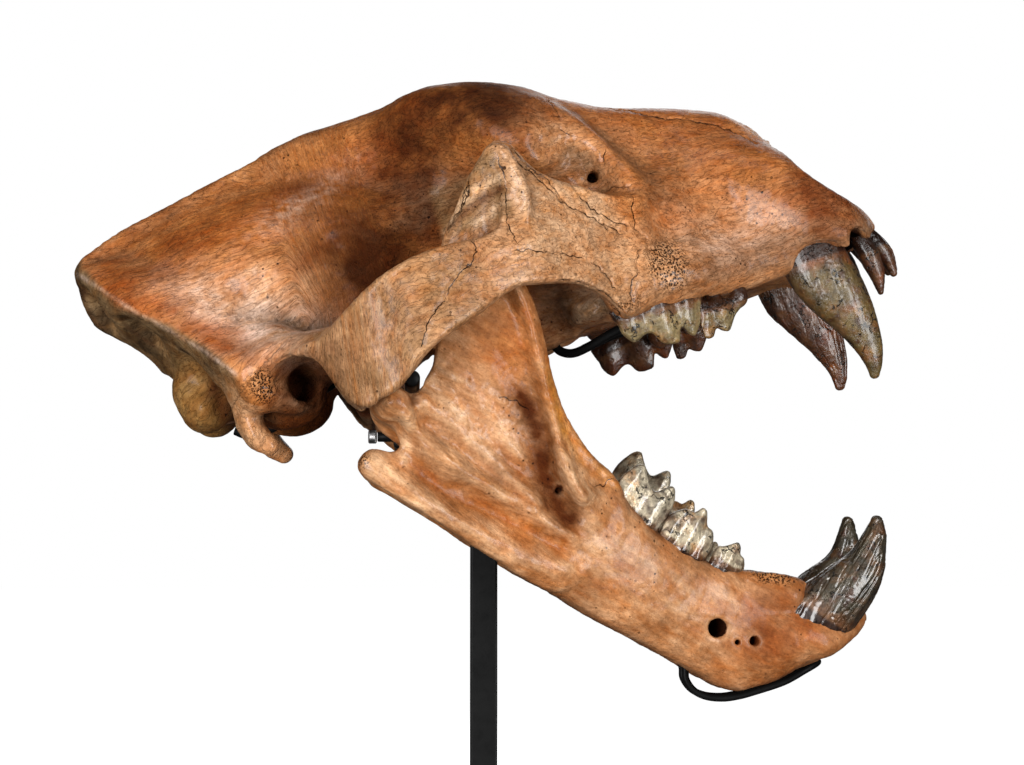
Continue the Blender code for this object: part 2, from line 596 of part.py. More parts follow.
# lines over the outer face of the jaw: route, half width, height
JAW_RELIEF = [
    ([(19, 78), (29.5, 72), (38, 65), (47.5, 55), (56, 46), (66.6, 36), (74.7, 26), (81, 17.5), (88, 10),
      (97, 3)], 4.2, 6.0),
    ([(86, 16), (97, 12), (108, 6)], 8, 2.5),
    ([(48, 46), (59.7, 32), (65.2, 24), (76.5, 11.7), (86.9, 2.7), (97, -1.8)], 8, -4.0),
    ([(12, 26), (19.5, 25.7), (29.6, 21.6), (38.6, 19.4), (52.8, 12.6), (62.9, 8.5)], 4.5, 2.0),
    ([(18, 18), (28, 18), (42, 13.7), (56.2, 7), (72.3, 1.5)], 4.0, -1.8),
    ([(10, 9), (16, 8.3), (34.4, 5.3), (51.7, 1.8), (69.7, -2.6), (84, -6)], 4.5, 2.2),
    ([(20, -1), (40, -3), (60, -5), (80, -9)], 4.0, -1.6),
    ([(12, -4), (25.2, -8.9), (48.8, -10), (67, -10.5), (86, -11), (106, -11)], 4.5, 3.4),
    ([(15, -14), (21, -18.5), (39, -22.5), (61, -21), (83.6, -17), (104, -16)], 5.5, -3.0),
    ([(13, 9), (12, 2), (13, -6), (16, -14), (19, -20)], 4.0, 2.6),
    ([(8, -29), (28, -32.5), (60, -33), (90, -32), (112, -27)], 6.5, 2.6)]


KEEL = Run((0, -44), (20, -39), (60, -38.5), (135, -41), (178, -39), (203, -39.5), (212, -37),
           (219, -34), (228, -24.5), (239, -12), (250, 2), (256, 16), (259.5, 24), (261, 38), (263, 60))


def half_jaw(c, lift):
    c.add(plate(JAW, jaw_mid, jaw_thick, 3.0), 1, 16)
    # body of the jaw
    c.add(strap([(62, 73, -20, 18, 7), (80, 70, -14, 24, 8), (100, 66, -12, 26, 9.5),
                 (118, 60, -12, 27, 10.5), (135, 55, -14, 25.5, 11.5), (150, 50, -14, 25, 12),
                 (172, 42, -13, 25, 12), (192, 36, -10, 27, 12.5), (208, 31, -7, 30, 13),
                 (220, 26, -4, 27, 14)], (0, 0, 1), 2.6), 8)
    # canine root swelling
    c.add(rod([(240, 32, 12, 11), (233, 33, 8, 13.5), (222, 32, -3, 15), (208, 31, -14, 13)], 4), 8)
    # chin
    c.add(rod([(208, 10, -24, 12.5), (218, 10, -14, 15.5), (232, 9, 2, 16), (244, 9, 16, 14),
               (250, 9, 26, 9.5)], 4), 10)
    c.add(rod([(210, 0, -23, 10), (220, 0, -11, 13), (234, 0, 6, 13), (246, 0, 20, 11), (251, 0, 28, 9)],
              4), 6)
    c.add(rod([(243, 38, 10, 6), (249.5, 34, 19, 5.5), (253.5, 26, 28, 5), (255, 16, 31, 5)], 3), 6)
    # joint, its neck, and the angle
    c.add(rod([(0.5, 49, 0, 6.5), (0, 60, -1, 8.5), (0, 74, -2, 9.5), (0, 86, -2, 9), (1, 94, 0, 7)], 3),
          3)
    c.add(rod([(-1, 84, 3, 4.5), (7, 85, 2, 5), (16, 84, 3, 5.5)], 3), 4)
    c.add(rod([(6, 72, -6, 8), (20, 79, -10, 8), (40, 80, -14, 7)], 3), 8)
    c.add(rod([(30, 80, -31, 7), (14, 81, -31.5, 6.5), (7, 81, -30.5, 5.5)], 3), 5)
    # rims along the teeth and the gap before them
    c.add(rod([(112, 60, 14 + lift, 5.5), (124, 57.5, 8.5 + lift, 7), (140, 53, 4.5 + lift, 7.5),
               (158, 47, 4.5 + lift / 2, 7), (172, 43, 6, 6.5), (184, 40, 9, 6)], 4), 7)
    c.add(rod([(185, 39.5, 12, 5), (191, 38.5, 16, 4), (198, 38, 20, 3.2), (206, 37.5, 24.6, 2.8),
               (213, 37, 27.9, 2.4), (219, 36, 29, 2.2), (224, 34.5, 29.6, 2)], 4), 3)
    x, y, z = c.p.T
    c.d = soft_max(c.d, (KEEL(x) - z) * 0.75, 4)
    # lines on the outer face
    near = np.nonzero((x < 130) & (y > 55) & (np.abs(c.d) < 20))[0]
    if len(near):
        u, v = x[near], z[near]
        rise = sum(height * np.exp(-(line_distance(u, v, route) / width) ** 2) for route, width,
                   height in JAW_RELIEF)
        c.d[near] -= rise * smooth_step((y[near] - jaw_mid(u, v)) / 4)
    # hollows
    c.cut(ball((50, 96, 14), (34, 12, 24), (0, 25, -12)), 6)
    c.cut(ball((40, 71, 18), (30, 7, 26), (0, 20, -12)), 6)
    # where the canine leaves the bone
    c.cut(ball((236.5, 56.5, 36.5), (20, 16, 19.5)), 1.5)
    # holes for nerves
    c.cut(rod([(193, 58, -11, 5), (192, 36, -11, 4.4)], 1), 1)
    c.cut(rod([(212.5, 52, -7, 2.6), (211, 36, -7, 2)], 1), 1)
    c.cut(rod([(205, 52, -12, 1.5), (205, 38, -12, 1.2)], 1), 1)
    c.cut(rod([(89.7, 92, 6, 2.0), (90, 70, 5, 1.6)], 1), 0.8)
    c.cut(rod([(-20, 81, -16.5, 6), (11, 81, -16.5, 5.3)], 1), 3)
    # the two halves stop short of each other
    c.d = soft_max(c.d, -5.0 - c.p[:, 1], 0.8)


def mandible(lift):
    """The shape of one half, with its rim raised by lift."""
    def shape(c):
        half_jaw(c, lift)
    return shape


# ------------------------------------------------ teeth, each in its jaw's frame, on the +y side
def blade(outline, middle, thick, base, tip, power=1.0):
    """A cheek tooth: its outline from the side, thick at its neck and sharp at its edge."""
    pts = closed_spline(outline, 3)
    def distance(x, y, z):
        edge = outline_distance(pts, x, z)
        rise = np.clip((z - base) / (tip - base), 0, 1)
        half = thick(x) * (1 - 0.62 * rise ** power)
        depth = np.clip(-edge / 5.0, 0, 1)
        half = half * (0.45 + 0.55 * depth ** 0.6)
        return soft_max(edge, (np.abs(y - middle(x)) - half) * 0.9, 1.6)
    ys, t = middle(pts[:, 0]), thick(pts[:, 0]).max()
    low = pts[:, 0].min(), ys.min() - t, pts[:, 1].min()
    high = pts[:, 0].max(), ys.max() + t, pts[:, 1].max()
    return distance, low, high


UP4 = [(116, 14), (115.4, 4), (116, 0), (118, -3.4), (120.6, -5.8), (123.4, -5.3), (126.1, -4),
       (128.9, -3.6), (131, -5), (133.5, -9.5), (136.5, -11.3), (140, -12), (142.6, -11.8), (144, -8.5),
       (145.3, -5.6), (146.8, -7.4), (148.7, -10), (151, -11), (153.2, -8.5), (156.4, -4), (157.8, 0),
       (158, 14)]
UP3 = [(160, 4), (158, -2), (154.5, -7), (153.9, -11), (155.8, -13.8), (158.9, -14.4), (161.1, -12.8),
       (162.8, -10.6), (165.5, -12.6), (168.8, -13.2), (171, -10.8), (174.2, -6.7), (177.2, -4.2),
       (180.8, -1.2), (182.4, 3), (182, 7), (174, 3), (167, 2)]
LM1 = [(113.5, 9), (113, 18), (113.2, 26), (115.6, 33.4), (117.8, 37.2), (121, 38.2), (124, 35.2),
       (127.5, 32), (130.6, 30.2), (133, 31.2), (135.6, 35), (138, 37), (140.6, 35.2), (142.9, 30),
       (143.6, 24.4), (142.8, 17), (141, 9)]
LP4 = [(146, 8), (143.4, 15), (143, 21), (144.4, 25.5), (148, 30), (151, 31.6), (154, 32), (156.4, 36),
       (159.4, 35.4), (161.4, 32), (163.4, 29.4), (166.4, 28.8), (168.6, 26.4), (170.2, 22.6),
       (170.6, 17), (169.6, 8)]
LP3 = [(174.4, 8), (172.8, 17), (172.6, 23.4), (175.4, 25.4), (178, 28), (180.8, 30.9), (183.6, 29.2),
       (185.2, 26.2), (187.9, 25.2), (190.4, 21.2), (189.8, 16), (187.6, 8)]


def teeth():
    """Each tooth's name, jaw ("c" or "m"), forms with their blends, and the box round it."""
    cheek_u = Run((112, 70.5), (130, 68.5), (158, 59.5), (184, 50.5))
    cheek_l = Run((110, 60), (128, 55.5), (150, 50), (172, 44.5), (192, 38))
    canine_u = [(214, 44.5, 26, 14, 9), (220.5, 45, 12, 16.2, 10.5), (223.4, 45.5, 0, 16.2, 10.5),
                (227.6, 46, -12, 14.6, 9.6), (231, 46, -22, 12, 8.4), (233.4, 46, -32, 9.2, 7),
                (234.6, 46, -41, 6.8, 5.4), (234.4, 45.8, -49, 4.4, 4), (233.2, 45.6, -54, 2.6, 2.4)]
    canine_l = [(226, 31, 6, 14, 10), (235, 33.5, 22, 16.6, 11), (239, 35, 35, 15, 10.6),
                (241.2, 36.5, 48, 12.2, 9), (240.8, 37.4, 58, 9.2, 7.4), (238.6, 38, 67.5, 6.5, 5.8),
                (236.6, 38, 73, 4.6, 4.4), (235.4, 38, 75.6, 3.2, 3.2)]
    p4_u = Run((114, 3.4), (121, 5.6), (129, 3.8), (138.5, 6.6), (145.5, 4.2), (151, 5.6), (158, 3.6))
    p3_u = Run((154, 3.4), (158, 4.6), (162.5, 3.8), (168, 5.4), (176, 3.8), (182, 4.2))
    p3_roots = [[(166.5, 56, -2, 4.4), (166.5, 54, 5, 4.0), (166.5, 52, 13, 3.6)],
                [(179, 52.4, 1, 3.6), (178.6, 51, 7, 3.6), (178, 50, 13, 3.4)],
                [(158.5, 59, -2, 3.2), (157.5, 57, 5, 3.2), (157, 55, 13, 3.2)]]
    i3_u = [(247, 27, 22, 4.6), (251.5, 28, 9, 5.2), (252.8, 28, 1, 5), (253.6, 27.5, -7, 3.8),
            (252.8, 27, -15.2, 1.6)]
    i2_u = [(252, 17, 24, 4), (259, 17.5, 12, 4.4), (262.6, 17.5, 3, 4.0), (264.4, 17, -7.4, 2)]
    i1_u = [(254, 6.5, 25, 3.4), (262, 6.5, 13, 4), (266, 6.5, 4, 4), (267.5, 6.5, -5, 2)]
    m1_l = Run((112, 4), (119.5, 6.4), (128.5, 4.4), (136.5, 6.6), (144, 4))
    p4_l = Run((143, 4), (148.5, 5.4), (153, 4.6), (158, 6.4), (163.5, 4.6), (167, 5.2), (171, 3.8))
    p3_l = Run((172, 3.8), (175.5, 4.6), (178, 4.2), (181.5, 5.4), (185, 4.2), (188, 4.6), (191, 3.6))
    i3_l = [(247, 16, 20, 3.6), (250, 17, 29, 4.0), (251.5, 17.5, 36, 3.4), (252, 17.5, 40, 2.2)]
    i2_l = [(249, 9, 22, 3), (252.5, 9, 31, 3.3), (254, 9, 38, 2.0)]
    ahead = (1, 0, 0)
    return [
        ("upper_canine", "c", [(strap(canine_u, ahead, 2.1), 0)], (190, 30, -60), (250, 60, 30)),
        ("upper_p4", "c", [(blade(UP4, cheek_u, p4_u, 5, -12), 0), (ball((150, 52, 3), (7, 7, 8)), 3)],
         (108, 40, -16), (164, 80, 15)),
        ("upper_p3", "c", [(blade(UP3, cheek_u, p3_u, 4, -12), 0)]
         + [(rod(root, 2), 3) for root in p3_roots],
         (155, 40, -15), (188, 66, 15)),
        ("upper_i3", "c", [(rod(i3_u, 3), 0)], (236, 18, -18), (264, 38, 26)),
        ("upper_i2", "c", [(rod(i2_u, 3), 0)], (244, 10, -12), (272, 24, 28)),
        ("upper_i1", "c", [(rod(i1_u, 3), 0)], (248, 1, -10), (275, 13, 29)),
        ("lower_canine", "m", [(strap(canine_l, ahead, 2.1), 0)], (205, 18, -12), (262, 52, 82)),
        ("lower_m1", "m", [(blade(LM1, cheek_l, m1_l, 16, 37), 0)], (106, 44, 6), (150, 70, 42)),
        ("lower_p4", "m", [(blade(LP4, cheek_l, p4_l, 14, 36), 0)], (140, 34, 2), (176, 60, 42)),
        ("lower_p3", "m", [(blade(LP3, cheek_l, p3_l, 18, 31), 0)], (168, 30, 4), (196, 54, 36)),
        ("lower_i3", "m", [(rod(i3_l, 3), 0)], (240, 8, 14), (268, 26, 52)),
        ("lower_i2", "m", [(rod(i2_l, 3), 0)], (244, 3, 16), (268, 15, 48))]


def tooth_mesh(name, forms, low, high, step):
    def shape(c):
        for form, k in forms:
            c.add(form, max(k, 0.5), 8)
    return mesh_of(name, *skin(*sample(shape, low, high, step), step))


def level(value):
    return Run((0, value), (1, value))


# the left row stands a little differently: forward along z, raised along x
LEFT_SHIFT = {
    "upper_p4": (level(0), Run((118, -7.5), (156, -0.5))),
    "upper_p3": (level(0), level(-1)),
    "lower_m1": (level(3), level(14)),
    "lower_p4": (level(2), level(7.5)),
    "lower_canine": (Run((30, 3.5), (52, 3.5), (75, 0)), level(0))}


# ---------------------------------------------------------------- meshes


def mesh_of(name, points, faces):
    mesh = bpy.data.meshes.new(name)
    mesh.from_pydata((points * MM).tolist(), [], faces.tolist())
    mesh.update()
    return mesh


def modified(mesh, **settings):
    """The mesh with one modifier applied: its type, and the values it is set to."""
    scratch = bpy.data.objects.new("scratch", mesh)
    bpy.context.collection.objects.link(scratch)
    modifier = scratch.modifiers.new("step", settings.pop("type"))
    for key, value in settings.items():
        setattr(modifier, key, value)
    evaluated = scratch.evaluated_get(bpy.context.evaluated_depsgraph_get())
    result = bpy.data.meshes.new_from_object(evaluated)
    result.name = mesh.name
    bpy.data.objects.remove(scratch)
    return result


def thinned(mesh, faces):
    """The mesh in about this many triangles, still closed."""
    ratio = min(1.0, faces / (2.0 * len(mesh.polygons)))
    return tidied(modified(mesh, type="DECIMATE", ratio=ratio, use_collapse_triangulate=True))


def tidied(mesh):
    """Only the largest closed piece, in triangles, with no zero-length edges."""
    bm = bmesh.new()
    bm.from_mesh(mesh)
    bmesh.ops.dissolve_degenerate(bm, dist=2e-5, edges=bm.edges)
    bmesh.ops.triangulate(bm, faces=bm.faces)
    left = set(bm.faces)
    pieces = []
    while left:
        stack = [left.pop()]
        piece = set(stack)
        while stack:
            for edge in stack.pop().edges:
                for face in edge.link_faces:
                    if face in left:
                        left.discard(face)
                        piece.add(face)
                        stack.append(face)
        pieces.append(piece)
    keep = max(pieces, key=lambda piece: sum(face.calc_area() for face in piece))
    bmesh.ops.delete(bm, geom=[face for face in bm.faces if face not in keep], context="FACES")
    bmesh.ops.delete(bm, geom=[vert for vert in bm.verts if not vert.link_faces], context="VERTS")
    result = bpy.data.meshes.new(mesh.name)
    bm.to_mesh(result)
    bm.free()
    return result


def joined(mesh, other, operation):
    """Union, difference or intersection of two closed meshes."""
    tool = bpy.data.objects.new("tool", other)
    bpy.context.collection.objects.link(tool)
    result = modified(mesh, type="BOOLEAN", operation=operation, solver="EXACT", object=tool)
    bpy.data.objects.remove(tool)
    return tidied(result)


def swollen(mesh, distance):
    """A copy pushed out along its corners' normals, for the space that a piece fits in."""
    result = mesh.copy()
    normals = [vertex.normal.copy() for vertex in mesh.vertices]
    for vertex, normal in zip(result.vertices, normals):
        vertex.co += normal * distance * MM
    return result


def shifted(mesh, ahead, raised):
    """A tooth moved forward by a Run along its height and up by a Run along its length."""
    result = mesh.copy()
    for vertex in result.vertices:
        x, _, z = vertex.co / MM
        vertex.co.x += float(ahead(z)) * MM
        vertex.co.z += float(raised(x)) * MM
    return result


def mirrored(mesh):
    """The piece for the skull's right side."""
    bm = bmesh.new()
    bm.from_mesh(mesh)
    for vert in bm.verts:
        vert.co.y = -vert.co.y
    bmesh.ops.reverse_faces(bm, faces=bm.faces)
    result = bpy.data.meshes.new(mesh.name)
    bm.to_mesh(result)
    bm.free()
    return result


def cut_flat(mesh, y):
    """The half beyond the plane at y, with a flat face there."""
    bm = bmesh.new()
    bm.from_mesh(mesh)
    cut = bmesh.ops.bisect_plane(bm, geom=bm.verts[:] + bm.edges[:] + bm.faces[:], dist=1e-7,
                                 plane_co=(0, y * MM, 0), plane_no=(0, 1, 0), clear_inner=True)
    rim = [item for item in cut["geom_cut"] if isinstance(item, bmesh.types.BMEdge)]
    bmesh.ops.holes_fill(bm, edges=rim, sides=0)
    bmesh.ops.recalc_face_normals(bm, faces=bm.faces)
    result = bpy.data.meshes.new(mesh.name)
    bm.to_mesh(result)
    bm.free()
    return tidied(result)


def prism(name, outline, y0, y1, grow):
    """A slab from y0 to y1 of this outline in x and z, grown on every side."""
    centre = np.mean(outline, axis=0)
    points = []
    for y in (y0 - grow, y1 + grow):
        for x, z in outline:
            away = np.array([x, z]) - centre
            reach = np.linalg.norm(away)
            x, z = centre + away * (reach + 1.4 * grow) / reach
            points.append((x, y, z))
    n = len(outline)
    faces = [list(range(n)), list(range(2 * n - 1, n - 1, -1))]
    faces += [[i, i + n, (i + 1) % n + n, (i + 1) % n] for i in range(n)]
    mesh = bpy.data.meshes.new(name)
    mesh.from_pydata([tuple(c * MM for c in point) for point in points], [], faces)
    bm = bmesh.new()
    bm.from_mesh(mesh)
    bmesh.ops.recalc_face_normals(bm, faces=bm.faces)
    bm.to_mesh(mesh)
    bm.free()
    return mesh


# ---------------------------------------------------------------- objects


def material(name, look):
    colour, roughness, metallic = look
    result = bpy.data.materials.new(name)
    result.use_nodes = True
    shader = result.node_tree.nodes["Principled BSDF"]
    shader.inputs["Base Color"].default_value = (*colour, 1.0)
    shader.inputs["Roughness"].default_value = roughness
    shader.inputs["Metallic"].default_value = metallic
    result.diffuse_color = (*colour, 1.0)
    return result


def put(name, data, surface, parent=None, smooth=True):
    piece = bpy.data.objects.new(name, data)
    bpy.context.collection.objects.link(piece)
    data.materials.clear()
    data.materials.append(surface)
    if isinstance(data, bpy.types.Mesh):
        data.polygons.foreach_set("use_smooth", [smooth] * len(data.polygons))
    piece.parent = parent
    return piece


def pivot(name, pitch):
    """An empty on the jaw joint's axis, pitched about it."""
    empty = bpy.data.objects.new(name, None)
    bpy.context.collection.objects.link(empty)
    empty.location = (JOINT_X, 0, JOINT_Z)
    empty.rotation_euler = (0, -math.radians(pitch), 0)
    return empty


def block(name, size, centre, bevel, surface):
    mesh = bpy.data.meshes.new(name)
    bm = bmesh.new()
    bmesh.ops.create_cube(bm, size=1.0)
    bmesh.ops.scale(bm, vec=size, verts=bm.verts)
    bm.to_mesh(mesh)
    bm.free()
    piece = put(name, mesh, surface, smooth=False)
    piece.location = centre
    edge = piece.modifiers.new("edge", "BEVEL")
    edge.width = bevel
    edge.segments = 2
    return piece


def wire(name, route, diameter, surface, sides=2, steps=2):
    """A round steel rod along a smooth route of (x, y, z) points in mm."""
    points = spline(route, steps) * MM
    curve = bpy.data.curves.new(name, "CURVE")
    curve.dimensions = "3D"
    curve.bevel_depth = diameter * MM / 2
    curve.bevel_resolution = sides
    curve.use_fill_caps = True
    line = curve.splines.new("POLY")
    line.points.add(len(points) - 1)
    for point, place in zip(line.points, points):
        point.co = (*place, 1.0)
    return put(name, curve, surface)


def clear_scene():
    for item in list(bpy.data.objects):
        bpy.data.objects.remove(item)


BROKEN_ARCH = ball((30, 118, 12.5), (27, 34, 17.5), (0, -28, 0))
JUGAL_OUTLINE = [(19, 18), (44, 44), (38, 56), (52, 86), (70, 110), (88, 110), (112, 78), (141, 66),
                 (137, 42), (127, 27), (104, 20), (104, 8), (84, 18), (50, 4), (20, -2)]


def break_arch(lattice, base, step):
    """The lower border of the left arch is broken away, so the mouth of the arch is open."""
    form, low, high = BROKEN_ARCH
    first = np.maximum(((low - base) / step).astype(int), 0)
    last = np.minimum(((high - base) / step).astype(int) + 2, lattice.shape)
    steps = np.stack(np.meshgrid(*[np.arange(a, b) for a, b in zip(first, last)], indexing="ij"), -1)
    part = tuple(slice(a, b) for a, b in zip(first, last))
    inside = form(*(steps.reshape(-1, 3) * step + base).T).reshape(lattice[part].shape)
    lattice[part] = soft_max(lattice[part], -inside, 2)


def build_cranium(looks):
    parent = pivot("cranium_pivot", CRANIUM_PITCH)
    lattice, base = sample(cranium, (-142, -140, -16), (272, 140, 162), BONE_STEP, mirror=True)
    break_arch(lattice, base, BONE_STEP)
    bone = thinned(mesh_of("cranium", *skin(lattice, base, BONE_STEP)), CRANIUM_FACES)
    for side, sign in (("left", 1), ("right", -1)):
        inner, outer = sorted(sign * distance for distance in JUGAL_SIDES)
        hole = prism("hole", JUGAL_OUTLINE, inner, outer, GAP)
        core = prism("core", JUGAL_OUTLINE, inner, outer, 0.0)
        jugal = joined(bone, core, "INTERSECT")
        bone = joined(bone, hole, "DIFFERENCE")
        jugal.name = "jugal_" + side
        put("jugal_" + side, jugal, looks["tan"], parent)
    bone = with_teeth(bone, "c", looks, parent)
    put("cranium", bone, looks["orange"], parent)


def with_teeth(bone, jaw, looks, parent, sides=("left", "right")):
    """The bone with its cheek teeth and incisors grown on, and a socket for each canine."""
    for name, owner, form, low, high in teeth():
        if owner != jaw:
            continue
        faces = CANINE_FACES if "canine" in name else INCISOR_FACES if "_i" in name else CHEEK_FACES
        left = thinned(tooth_mesh(name, form, low, high, TOOTH_STEP), faces)
        for side in sides:
            tooth = left if side == "left" else mirrored(left)
            if side == "left" and name in LEFT_SHIFT:
                tooth = shifted(tooth, *LEFT_SHIFT[name])
            if "canine" in name:
                bone = joined(bone, swollen(tooth, SOCKET_GAP), "DIFFERENCE")
                put(name + "_" + side, tooth, looks["enamel"], parent)
            else:
                bone = joined(bone, tooth, "UNION")
    return bone


def build_mandible(looks):
    parent = pivot("mandible_pivot", MANDIBLE_PITCH)
    low, high = (-14, -8, -48), (270, 110, 96)
    for side, lift in (("left", LEFT_RIM_LIFT), ("right", 0.0)):
        half = mesh_of("mandible", *skin(*sample(mandible(lift), low, high, BONE_STEP), BONE_STEP))
        half = cut_flat(thinned(half, MANDIBLE_FACES), HALVES_GAP)
        if side == "right":
            half = mirrored(half)
        half = with_teeth(half, "m", looks, parent, (side,))
        put("mandible_" + side, half, looks["pale"], parent)


def build_stand(looks):
    steel = looks["steel"]
    block("stand_base", BASE_SIZE, (0, 0, BASE_SIZE[2] / 2), BASE_BEVEL, steel)
    foot = BASE_SIZE[2] + GAP * MM
    block("stand_post", (POST_SIDE, POST_SIDE, POST_TOP - foot), (0, 0, (POST_TOP + foot) / 2),
          POST_BEVEL, steel)
    face = POST_SIDE / MM / 2 + GAP
    # bar across the skull in front of its jaw joints, and the arm that holds it
    bar_x, bar_z = in_world([(12.4, 0, 7.4)], CRANIUM_PITCH)[0][[0, 2]]
    wire("stand_skull_bar", [(bar_x, -SKULL_BAR_REACH, bar_z), (bar_x, SKULL_BAR_REACH, bar_z)],
         BAR_DIAMETER, steel, 3, 1)
    wire("stand_skull_arm", [(-face - 1.5, 0, 289), (bar_x + 4.2, 0, bar_z - 3.4)], ARM_DIAMETER, steel,
         3, 1)
    # rod back under the braincase to the occipital condyles
    rear = [(7.4, 0, 7.4), (-6, 0, 17), (-18, 0, 22.5), (-30, 0, 21), (-45, 0, 15), (-62, 0, 9.5),
            (-74, 0, 10), (-80, 0, 14)]
    wire("stand_rear_rod", in_world(rear, CRANIUM_PITCH), ROD_DIAMETER, steel)
    # clip that rises through the choana and runs forward under the palate
    clip = [(77, -9, 10), (83.5, -11, 12), (87, -12.5, 8.5), (90, -13.5, 3.5), (95.5, -15, 0.8),
            (104, -16, 1.6), (122, -16, 5.6), (138, -14, 5.6), (146, -6, 5.6), (146, 6, 5.6),
            (138, 14, 5.6), (120, 16, 5.2), (104, 16, 3)]
    top = POST_TOP / MM + GAP
    rise = [(0, 0, top), (1, -1, top + 10), (9, -6, top + 22)]
    wire("stand_palate_clip", rise + list(in_world(clip, CRANIUM_PITCH)), CLIP_DIAMETER, steel)
    # arm back to the mandible's joints, the bolt at its end and the bar that it carries
    end, height = JAW_ARM_PLACE
    bar_x = JOINT_X / MM + JAW_BAR_AHEAD
    wire("stand_jaw_arm", [(-face, 0, height), (end, 0, height)], JAW_ARM_DIAMETER, steel, 3, 1)
    wire("stand_jaw_bolt", [(end - GAP, 0, height), (end - GAP - BOLT_LENGTH, 0, height)], BOLT_DIAMETER,
         looks["bolt"], 1, 1)
    low = height - JAW_BAR_DROP
    wire("stand_jaw_bar", [(bar_x, -JAW_BAR_REACH, low), (bar_x, JAW_BAR_REACH, low)], ROD_DIAMETER,
         steel, 3, 1)
    # cradle that drops from the post and carries the chin
    cradle = [(face + 0.5, 0, 236), (face + 9, 0, 236), (44, -1, 222), (73, -4, 196), (95, -6, 176),
              (101.5, -7, 166), (102.5, -7, 159), (106.5, -7, 153.3), (113, -7, 150.2),
              (121.3, -7, 149.4), (129, -7, 150.4), (137, -7, 152.5), (152.4, -7, 157.5),
              (163, -6.5, 163.2), (169, -4, 166.3), (171, 0, 167.4)]
    back = [(x, -y, z) for x, y, z in cradle[-2:2:-1]]
    wire("stand_chin_cradle", cradle + back, CRADLE_DIAMETER, steel)


def in_world(route, pitch):
    """Points of a jaw's own frame, in mm, carried to the stand's."""
    angle = math.radians(pitch)
    x, y, z = np.array(route, float).T
    return np.stack([JOINT_X / MM + x * math.cos(angle) - z * math.sin(angle), y,
                     JOINT_Z / MM + x * math.sin(angle) + z * math.cos(angle)], 1)


def main():
    clear_scene()
    looks = {"orange": material("bone_orange", ORANGE_BONE), "tan": material("bone_tan", TAN_BONE),
             "pale": material("bone_pale", PALE_BONE), "enamel": material("enamel", ENAMEL),
             "steel": material("black_steel", BLACK_STEEL),
             "bolt": material("bright_steel", BRIGHT_STEEL)}
    build_cranium(looks)
    build_mandible(looks)
    build_stand(looks)


main()
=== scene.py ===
import math
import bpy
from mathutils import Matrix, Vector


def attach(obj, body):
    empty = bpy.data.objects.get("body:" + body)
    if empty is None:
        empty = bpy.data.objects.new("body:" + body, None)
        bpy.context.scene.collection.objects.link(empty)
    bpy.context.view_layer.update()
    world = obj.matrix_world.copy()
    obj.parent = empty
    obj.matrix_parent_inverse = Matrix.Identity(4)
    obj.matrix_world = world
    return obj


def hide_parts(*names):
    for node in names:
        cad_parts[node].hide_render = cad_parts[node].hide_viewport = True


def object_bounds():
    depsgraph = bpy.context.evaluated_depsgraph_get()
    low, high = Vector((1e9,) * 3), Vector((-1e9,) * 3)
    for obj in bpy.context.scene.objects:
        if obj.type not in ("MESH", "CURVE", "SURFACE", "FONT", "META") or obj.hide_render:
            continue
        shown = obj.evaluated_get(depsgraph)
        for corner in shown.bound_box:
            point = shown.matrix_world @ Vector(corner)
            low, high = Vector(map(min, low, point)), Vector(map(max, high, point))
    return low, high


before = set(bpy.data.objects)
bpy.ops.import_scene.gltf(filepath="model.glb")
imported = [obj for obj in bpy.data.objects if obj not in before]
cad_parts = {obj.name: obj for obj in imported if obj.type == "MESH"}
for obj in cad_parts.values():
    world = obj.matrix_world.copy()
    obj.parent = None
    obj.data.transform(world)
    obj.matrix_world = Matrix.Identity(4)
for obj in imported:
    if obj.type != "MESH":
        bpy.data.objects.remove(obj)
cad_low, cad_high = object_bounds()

from concurrent.futures import ThreadPoolExecutor

import bpy
import numpy as np
from mathutils import Euler, Vector

MM = 0.001
JOINT_X = -0.0463
JOINT_Z = 0.2953
CRANIUM_PITCH = 17.0
MANDIBLE_PITCH = -31.0
BONE_STEP = 1.0
TOOTH_STEP = 0.5
LEFT_LIFT = 12.0
CORES = 4
SLAB = 40000
BLOCK = 8
HALF_DIAGONAL = 0.87
STEEPNESS = 1.7
MARGIN = 3
FAR = 1000.0
PULL, PUSH = 0.5, 0.53
STRAP_STEPS = 6
POST_WIDTH = 13.6
CLEARANCE = 0.3
# the camera that fits the photograph: place, point looked at, focal length in its pixels and its width
CAMERA_AT = (-0.0353, -1.155, 0.2341)
CAMERA_AIM = (0.01445, 0, 0.310)
FOCAL = 2259.19
PHOTO_WIDTH = 1024
SENSOR = 36
# the studio's lights: place, size and power
LIGHTS = {"key": ((-0.70, -1.45, 0.24), (0.6, 1.0), 34), "fill": ((0.95, -1.30, 0.28), (0.5, 1.0), 24),
          "top": ((-0.1, -0.6, 1.6), (0.9, 0.6), 4), "rear": ((0.35, 1.3, 1.0), (1.0, 1.0), 6)}
LIGHTS_AIM = (0.02, 0, 0.32)


def soft_min(a, b, k):
    h = np.clip(0.5 + 0.5 * (b - a) / k, 0, 1)
    return b + (a - b) * h - k * h * (1 - h)


def soft_max(a, b, k):
    return -soft_min(-a, -b, k)


def smooth_step(t):
    t = np.clip(t, 0, 1)
    return t * t * (3 - 2 * t)


